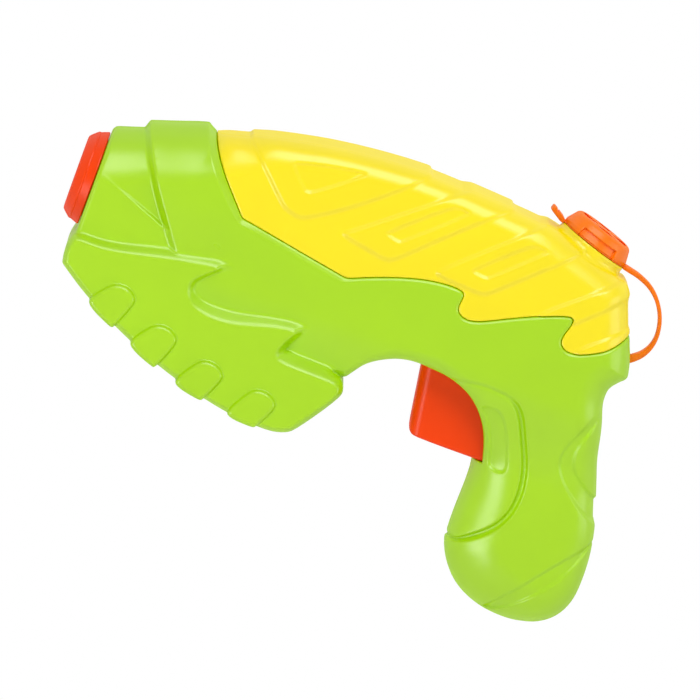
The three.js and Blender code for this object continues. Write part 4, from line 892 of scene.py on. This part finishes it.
def round_lattice(reach, low, high):
    """Lattice about the cap's axis: two ways across, up, distance from the axis, first corner."""
    along = span(-reach, reach, CAP_STEP)
    up = span(low, high, CAP_STEP)
    a, b, t = along[:, None, None], along[None, :, None], up[None, None, :]
    return a, b, t, np.sqrt(a ** 2 + b ** 2) + 0 * t, (along[0], along[0], up[0])


def disc(spread, t, reach, low, high, edge):
    """Field of a round plate with rounded edges."""
    u = spread - reach + edge
    v = np.abs(t - (low + high) / 2) - (high - low) / 2 + edge
    return np.sqrt(np.maximum(u, 0) ** 2 + np.maximum(v, 0) ** 2) + np.minimum(np.maximum(u, v), 0) - edge


def thread_ridge(a, b, t, wall, outward, phase):
    """Field of a helical rib on a round wall; outward is 1 on its outside and -1 in its bore."""
    angle = np.mod(np.arctan2(b, a) - phase, 2 * math.pi) / (2 * math.pi)
    spread = np.sqrt(a ** 2 + b ** 2)
    crest = spread - wall - THREAD_HEIGHT if outward > 0 else wall - THREAD_HEIGHT - spread
    root = wall - THREAD_ROOT - spread if outward > 0 else spread - wall - THREAD_ROOT
    best = np.full((spread + t).shape, NOWHERE)
    for lap in range(math.ceil(THREAD_TURNS)):
        turn = angle + lap
        centre = THREAD_START + THREAD_PITCH * turn
        rib = np.maximum(np.abs(t - centre) - THREAD_HALF, crest)
        best = np.minimum(best, np.where(turn <= THREAD_TURNS, rib, NOWHERE))
    return np.maximum(best, root)


def finger_notch(a, b, t, spread):
    """Field of the notches on both sides, whose floors lean in toward the top."""
    ends = np.abs(a) * math.cos(NOTCH_HALF) - np.abs(b) * math.sin(NOTCH_HALF)
    floor_out = NOTCH_FLOOR + NOTCH_LEAN * (NOTCH_TOP - t) - spread
    return np.maximum(np.maximum(floor_out, t - NOTCH_TOP), ends)


def cap_field():
    a, b, t, spread, low = round_lattice(15.6, -2.1, 9.3)
    narrowed = spread + CAP_TAPER * np.maximum(t - CAP_MIDDLE, 0)
    knob = disc(narrowed, t, CAP_RADIUS, CAP_FOOT - 4, CAP_TOP, CAP_EDGE)
    knob = np.maximum(knob, CAP_FOOT - t)
    knob = soft_max(knob, -finger_notch(a, b, t, spread), 0.4)
    for side, along, across in ((1, a, b), (-1, a, b), (1, b, a), (-1, b, a)):
        reach = side * along
        wide = WEDGE_TIP + (reach - WEDGE_START) * WEDGE_SPREAD
        wedge = np.maximum(np.maximum(WEDGE_START - reach, spread - WEDGE_REACH), np.abs(across) - wide)
        knob = soft_max(knob, -np.maximum(wedge, CAP_TOP - WEDGE_DEPTH - t), 0.3)
    skirt = np.maximum(np.maximum(spread - SKIRT_RADIUS, SKIRT_BOTTOM - t), t - CAP_FOOT - SKIRT_ROOT)
    solid = np.minimum(knob, skirt)
    solid = np.maximum(solid, -np.maximum(spread - SKIRT_BORE, t - CAP_CEILING))
    rib = np.maximum(thread_ridge(a, b, t, SKIRT_BORE, -1, math.pi), SKIRT_BOTTOM - t)
    return np.minimum(solid, rib).astype(np.float32), low


def ring_field():
    a, b, t, spread, low = round_lattice(25.2, -0.6, 7.2)
    ring = disc(spread, t, RING_RADIUS, RING_FOOT, RING_TOP, 0.05)
    ring = soft_max(ring, -finger_notch(a, b, t, spread), 0.4)
    out = -(a + RING_RADIUS - TAB_SUNK)
    lift = out * math.tan(TAB_RISE)
    thick = TAB_HALF_THICK + TAB_END_THICKER * ramp(out, *TAB_THICKENS)
    blade = np.abs(t - TAB_HEIGHT - lift) * math.cos(TAB_RISE) - thick
    tab_end = np.maximum(out - TAB_REACH + TAB_BULGE * b ** 2, -out)
    tab = soft_max(soft_max(np.abs(b) - TAB_HALF, blade, 0.8), tab_end, 0.8)
    groove = np.maximum(np.abs(out - TAB_GROOVE_AT) - TAB_GROOVE_HALF, TAB_GROOVE_FLOOR + lift - t)
    tab = np.maximum(tab, -groove)
    solid = soft_min(ring, tab, 0.5)
    stub = np.maximum(np.abs(b) - STRAP_HALF_WIDTH, np.abs(t - STUB_HEIGHT) - STUB_HALF_THICK)
    stub = np.maximum(stub, np.abs(a - RING_RADIUS - STUB_OUT) - STUB_HALF_LENGTH)
    solid = np.minimum(solid, stub)
    over_seat = np.maximum(RING_FOOT - t, t - RING_TOP)
    over_seat = np.where(spread < SEAT_RADIUS + FIT, over_seat, -NOWHERE)
    return np.maximum(np.maximum(solid, over_seat), RING_BORE - spread).astype(np.float32), low


def neck_field():
    a, b, t, spread, low = round_lattice(11.4, -4.2, 6.6)
    pipe = np.maximum(disc(spread, t, NECK_RADIUS, NECK_SUNK, NECK_TOP, NECK_EDGE), NECK_BORE - spread)
    pipe = np.maximum(pipe, NECK_FOOT - t)
    return np.minimum(pipe, thread_ridge(a, b, t, NECK_RADIUS, 1, 0)).astype(np.float32), low


field, low = cap_field()
cap = piece_from("filler_cap_moulding", field, low, CAP_STEP, CAP_SHARE, CAP_PLACE)
# Marks the wedge recesses on the cap's top, which get the deep red painted shade that stands in for their
# shadow.
spots = np.array([CAP_PLACE.inverted() @ (v.co / MM) for v in cap.data.vertices])
near_axis = np.hypot(spots[:, 0], spots[:, 1]) < WEDGE_REACH + 0.2
wedge_painted_shade = near_axis & (spots[:, 2] < CAP_TOP - 0.3)
recess_painted_shade = cap.data.attributes.new("recess_painted_shade", "FLOAT", "POINT")
recess_painted_shade.data.foreach_set("value", wedge_painted_shade.astype(np.float32))
finish_piece(cap, CAP_ORANGE, "cap_plastic", "cap_group", "filler_cap")
field, low = ring_field()
ring = piece_from("tether_ring_moulding", field, low, CAP_STEP, CAP_SHARE, CAP_PLACE)
finish_piece(ring, CAP_ORANGE, "cap_plastic", "tether_end", "tether_ring")
field, low = neck_field()
neck = piece_from("filler_neck", field, low, CAP_STEP, NECK_SHARE, CAP_PLACE)
finish_piece(neck, YELLOW, "yellow_plastic", "frame")


# Strap

def strap_mesh(name):
    """Flat strip with rounded edges along the strap's route."""
    line = rounded(STRAP, False, 3)
    ahead = np.gradient(line, axis=0)
    ahead /= np.linalg.norm(ahead, axis=1)[:, None]
    up = np.stack([-ahead[:, 1], ahead[:, 0]], axis=1)
    angles = np.linspace(0, 2 * math.pi, 24, endpoint=False)
    c, s = np.cos(angles), np.sin(angles)
    v = STRAP_HALF_WIDTH * np.sign(c) * np.abs(c) ** STRAP_SQUARE
    way = np.linspace(0, 1, len(line))
    thick = STRAP_CAP_THICK + (STRAP_HALF_THICK - STRAP_CAP_THICK) * ramp(way, *STRAP_THINS)
    thick = thick + (STRAP_ROOT_THICK - STRAP_HALF_THICK) * ramp(way, *STRAP_THICKENS)
    thick = thick * (STRAP_TIP_SHARE + (1 - STRAP_TIP_SHARE) * ramp(way, *STRAP_TIP))
    u = thick[:, None] * np.sign(s) * np.abs(s) ** STRAP_SQUARE
    along = line[:, None, 0] + up[:, None, 0] * u
    upward = line[:, None, 1] + up[:, None, 1] * u
    spots = np.stack([along, np.broadcast_to(v, u.shape), upward], axis=2)
    return tube_mesh(name, spots * MM, False)


def tube_mesh(name, rings, closed):
    """Mesh through rings of points, joined end to end or capped."""
    count, sides = rings.shape[:2]
    faces = []
    for i in range(count if closed else count - 1):
        after = (i + 1) % count
        for k in range(sides):
            n = (k + 1) % sides
            faces.append((i * sides + k, i * sides + n, after * sides + n, after * sides + k))
    points = [tuple(p) for p in rings.reshape(-1, 3)]
    if not closed:
        faces.append(tuple(range(sides - 1, -1, -1)))
        faces.append(tuple((count - 1) * sides + k for k in range(sides)))
    mesh = bpy.data.meshes.new(name)
    mesh.from_pydata(points, [], faces)
    mesh.shade_smooth()
    return mesh


strap = object_from("tether_strap_moulding", strap_mesh("tether_strap_moulding"))
strap.data.materials.append(CAP_ORANGE)
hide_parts("tether_strap")
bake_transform(strap)


# Nozzle

def turned_mesh(name, profile, sides):
    """Profile turned about the barrel's axis."""
    line = rounded(profile, True, 2)
    angles = np.linspace(0, 2 * math.pi, sides, endpoint=False)
    reach = line[None, :, 0] + 0 * angles[:, None]
    along = line[None, :, 1] + 0 * reach
    aside = reach * np.cos(angles)[:, None]
    upward = BARREL_Z + reach * np.sin(angles)[:, None]
    return tube_mesh(name, np.stack([along, aside, upward], axis=2) * MM, True)


bezel = object_from("nozzle_bezel_moulding", turned_mesh("nozzle_bezel_moulding", BEZEL, 160))
finish_piece(bezel, ORANGE, "red_orange_plastic", "frame", "nozzle_bezel")
jet = object_from("nozzle_jet_moulding", turned_mesh("nozzle_jet_moulding", JET, 64))
finish_piece(jet, ORANGE, "red_orange_plastic", "frame", "nozzle_jet")


# Trigger

def trigger_field():
    xs, ys, zs = [span(*reach, TRIGGER_STEP) for reach in ((-60.8, -15.6), (-13.6, 13.6), (-1.2, 34))]
    x, y, z = xs[:, None, None], ys[None, :, None], zs[None, None, :]
    flat_x, flat_z = np.meshgrid(xs, zs, indexing="ij")
    inward = depth(flat_x, flat_z, TRIGGER)[:, None, :]
    behind_front = side_of(TRIGGER_FRONT, flat_x, flat_z)[:, None, :]
    outline = crown(inward, y, TRIGGER_HALF, TRIGGER_EDGE)
    rounded_front = crown(behind_front, y, TRIGGER_HALF, TRIGGER_ROUND)
    pocket = -depth(flat_x, flat_z, TRIGGER_POCKET, 1)[:, None, :]
    pocket = np.maximum(pocket, np.abs(y) - TRIGGER_POCKET_HALF)
    solid = np.maximum(soft_max(outline, rounded_front, 0.5), -pocket)
    lugs = np.maximum(np.abs(x - LUG_AT[0]) - LUG_HALF[0], np.abs(y) - LUG_HALF[1])
    lugs = np.maximum(lugs, np.abs(z - LUG_AT[1]) - LUG_HALF[2])
    from_pump = np.sqrt(y ** 2 + (z - PUMP_Z) ** 2)
    seat = np.maximum(from_pump - SPRING_SEAT_RADIUS, np.abs(x - SPRING_SEAT_X) - SPRING_SEAT_HALF)
    socket = np.maximum(from_pump - SOCKET_RADIUS, np.abs(x - SOCKET_X) - SOCKET_HALF)
    solid = np.maximum(np.minimum(np.minimum(solid, lugs), seat), -socket)
    return solid.astype(np.float32), (xs[0], ys[0], zs[0])


field, low = trigger_field()
trigger = piece_from("trigger_moulding", field, low, TRIGGER_STEP, CAP_SHARE)
finish_piece(trigger, ORANGE, "red_orange_plastic", "trigger_group", "trigger")


# Return spring, a fixed coil on the frame; the real one shortens as the trigger is pulled

def coil_mesh(name):
    """Wire wound round the pump's axis."""
    turn = np.linspace(0, 2 * math.pi * SPRING_TURNS, SPRING_TURNS * 32 + 1)[:, None]
    along = SPRING_START + (SPRING_END - SPRING_START) * turn / turn[-1]
    around = np.linspace(0, 2 * math.pi, 10, endpoint=False)[None, :]
    reach = SPRING_RADIUS + SPRING_WIRE * np.cos(around)
    lengthwise = along + SPRING_WIRE * np.sin(around)
    spots = np.stack([lengthwise, reach * np.cos(turn), PUMP_Z + reach * np.sin(turn)], axis=2)
    return tube_mesh(name, spots * MM, False)


spring = object_from("return_spring_coil", coil_mesh("return_spring_coil"))
finish_piece(spring, STEEL, "steel", "frame", "return_spring")
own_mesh(spring)


# Stage, light and camera, in metres

LOOK_AT = Vector((-0.0873, 0, 0.0236))
RIGHT = Vector((math.cos(TILT), 0, math.sin(TILT)))
UP = Vector((-math.sin(TILT), 0, math.cos(TILT)))
AHEAD = Vector((0, 1, 0))
DISTANCE = 3
VIEW_WIDTH = 0.28
SENSOR = 36

camera_data = bpy.data.cameras.new("camera")
camera = bpy.data.objects.new("camera", camera_data)
bpy.context.scene.collection.objects.link(camera)
back = -AHEAD * math.cos(RISE) + UP * math.sin(RISE)
level = UP.cross(back).normalized()
over = back.cross(level)
turn = Matrix((level, over, back)).transposed()
camera.matrix_world = Matrix.Translation(LOOK_AT + back * DISTANCE) @ turn.to_4x4()
camera_data.sensor_width = SENSOR
camera_data.lens = SENSOR * DISTANCE / VIEW_WIDTH
camera_data.clip_end = 20
bpy.context.scene.camera = camera


def soft_light(name, spot, size, power):
    """White lamp aimed at the object."""
    data = bpy.data.lights.new(name, "AREA")
    data.shape = "RECTANGLE"
    data.size, data.size_y = size
    data.energy = power
    lamp = bpy.data.objects.new(name, data)
    bpy.context.scene.collection.objects.link(lamp)
    lamp.location = spot
    lamp.rotation_euler = (LOOK_AT - spot).to_track_quat("-Z", "Y").to_euler()


def from_view(right, up, toward):
    """Spot given along the picture's right, its up and toward the camera."""
    return LOOK_AT + RIGHT * right + UP * up - AHEAD * toward


soft_light("key", from_view(0.28, 0.95, 0.8), (0.98, 0.8), 11.2)
soft_light("side", from_view(-0.75, -0.18, 0.8), (0.5, 0.5), 4.4)
soft_light("fill", from_view(1.2, -0.1, 0.5), (0.9, 0.6), 3.2)


def seen_rays(tree):
    """Socket that is 1 for what the camera sees, straight, mirrored or through clear plastic."""
    path = add_node(tree, "LightPath")
    seen = path.outputs["Is Camera Ray"]
    for kind in ("Is Glossy Ray", "Is Transmission Ray"):
        either = add_node(tree, "Math")
        either.operation = "MAXIMUM"
        tree.links.new(seen, either.inputs[0])
        join(path, kind, either, 1)
        seen = either.outputs[0]
    return seen


WHITE_LIGHT = (1, 1, 1, 1)
GLOW_SPAN = (-0.3, 0.5)  # of a direction's part along y, over which the room grows brighter
GLOW = (0.08, 1.1)

world = bpy.data.worlds.new("studio")
bpy.context.scene.world = world
world.use_nodes = True
tree = world.node_tree
tree.nodes.clear()
shown = add_node(tree, "Background", {"Color": WHITE_LIGHT, "Strength": 1})
lit = add_node(tree, "Background", {"Color": WHITE_LIGHT})
facing = add_node(tree, "TexCoord")
split = add_node(tree, "SeparateXYZ")
brighter_behind = add_node(tree, "MapRange", {
    "From Min": GLOW_SPAN[0], "From Max": GLOW_SPAN[1], "To Min": GLOW[0], "To Max": GLOW[1],
})
choose = add_node(tree, "MixShader")
out = add_node(tree, "OutputWorld")
join(facing, "Generated", split, "Vector")
join(split, "Y", brighter_behind, "Value")
join(brighter_behind, "Result", lit, "Strength")
tree.links.new(seen_rays(tree), choose.inputs["Fac"])
join(lit, 0, choose, 1)
join(shown, 0, choose, 2)
join(choose, 0, out, "Surface")

FLOOR_BELOW = 0.45
FLOOR_HALF = 1.6
FLOOR_AHEAD = 0.8
FLOOR_TOWARD = 1.6
FLOOR_WHITE = 0.85  # share of plain white that the camera sees, the rest keeps the shadow
centre = LOOK_AT - UP * FLOOR_BELOW
corners = [centre + RIGHT * across + AHEAD * along
           for across, along in ((-FLOOR_HALF, -FLOOR_TOWARD), (FLOOR_HALF, -FLOOR_TOWARD),
                                 (FLOOR_HALF, FLOOR_AHEAD), (-FLOOR_HALF, FLOOR_AHEAD))]
floor_mesh = bpy.data.meshes.new("floor")
floor_mesh.from_pydata(corners, [], [(0, 1, 2, 3)])
floor = object_from("floor", floor_mesh)
pale = plastic("pale_floor", from_screen(240, 240, 239), 0.7, 0.2, 0, 0.004)
tree = pale.node_tree
surface = next(node for node in tree.nodes if node.type == "OUTPUT_MATERIAL").inputs["Surface"]
shaded = surface.links[0].from_socket
white = add_node(tree, "Emission", {"Strength": 1})
share = add_node(tree, "Math", {1: FLOOR_WHITE})
share.operation = "MULTIPLY"
whiten = add_node(tree, "MixShader")
tree.links.new(seen_rays(tree), share.inputs[0])
join(share, 0, whiten, "Fac")
tree.links.new(shaded, whiten.inputs[1])
join(white, 0, whiten, 2)
clear = add_node(tree, "BsdfTransparent")
underside = add_node(tree, "NewGeometry")
one_sided = add_node(tree, "MixShader")
join(underside, "Backfacing", one_sided, "Fac")
join(whiten, 0, one_sided, 1)
join(clear, 0, one_sided, 2)
tree.links.new(one_sided.outputs[0], surface)
floor.data.materials.append(pale)

bpy.context.scene.view_settings.view_transform = "Standard"

# Solids that show as they are; the screws and valve balls are steel

CARRIED = {
    "tether_anchor": CAP_ORANGE, "cap_seal": WHITE, "nozzle_o_ring": RUBBER, "piston": WHITE,
    "piston_seal": RUBBER, "pump_cylinder": WHITE, "inlet_fitting": WHITE, "outlet_fitting": WHITE,
    "tank_outlet": WHITE, "tank_grommet": RUBBER, "inlet_tube": TUBE, "outlet_tube": TUBE,
}
for name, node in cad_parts.items():
    if not node.hide_render:
        node.data.materials.clear()
        node.data.materials.append(CARRIED.get(name, STEEL))
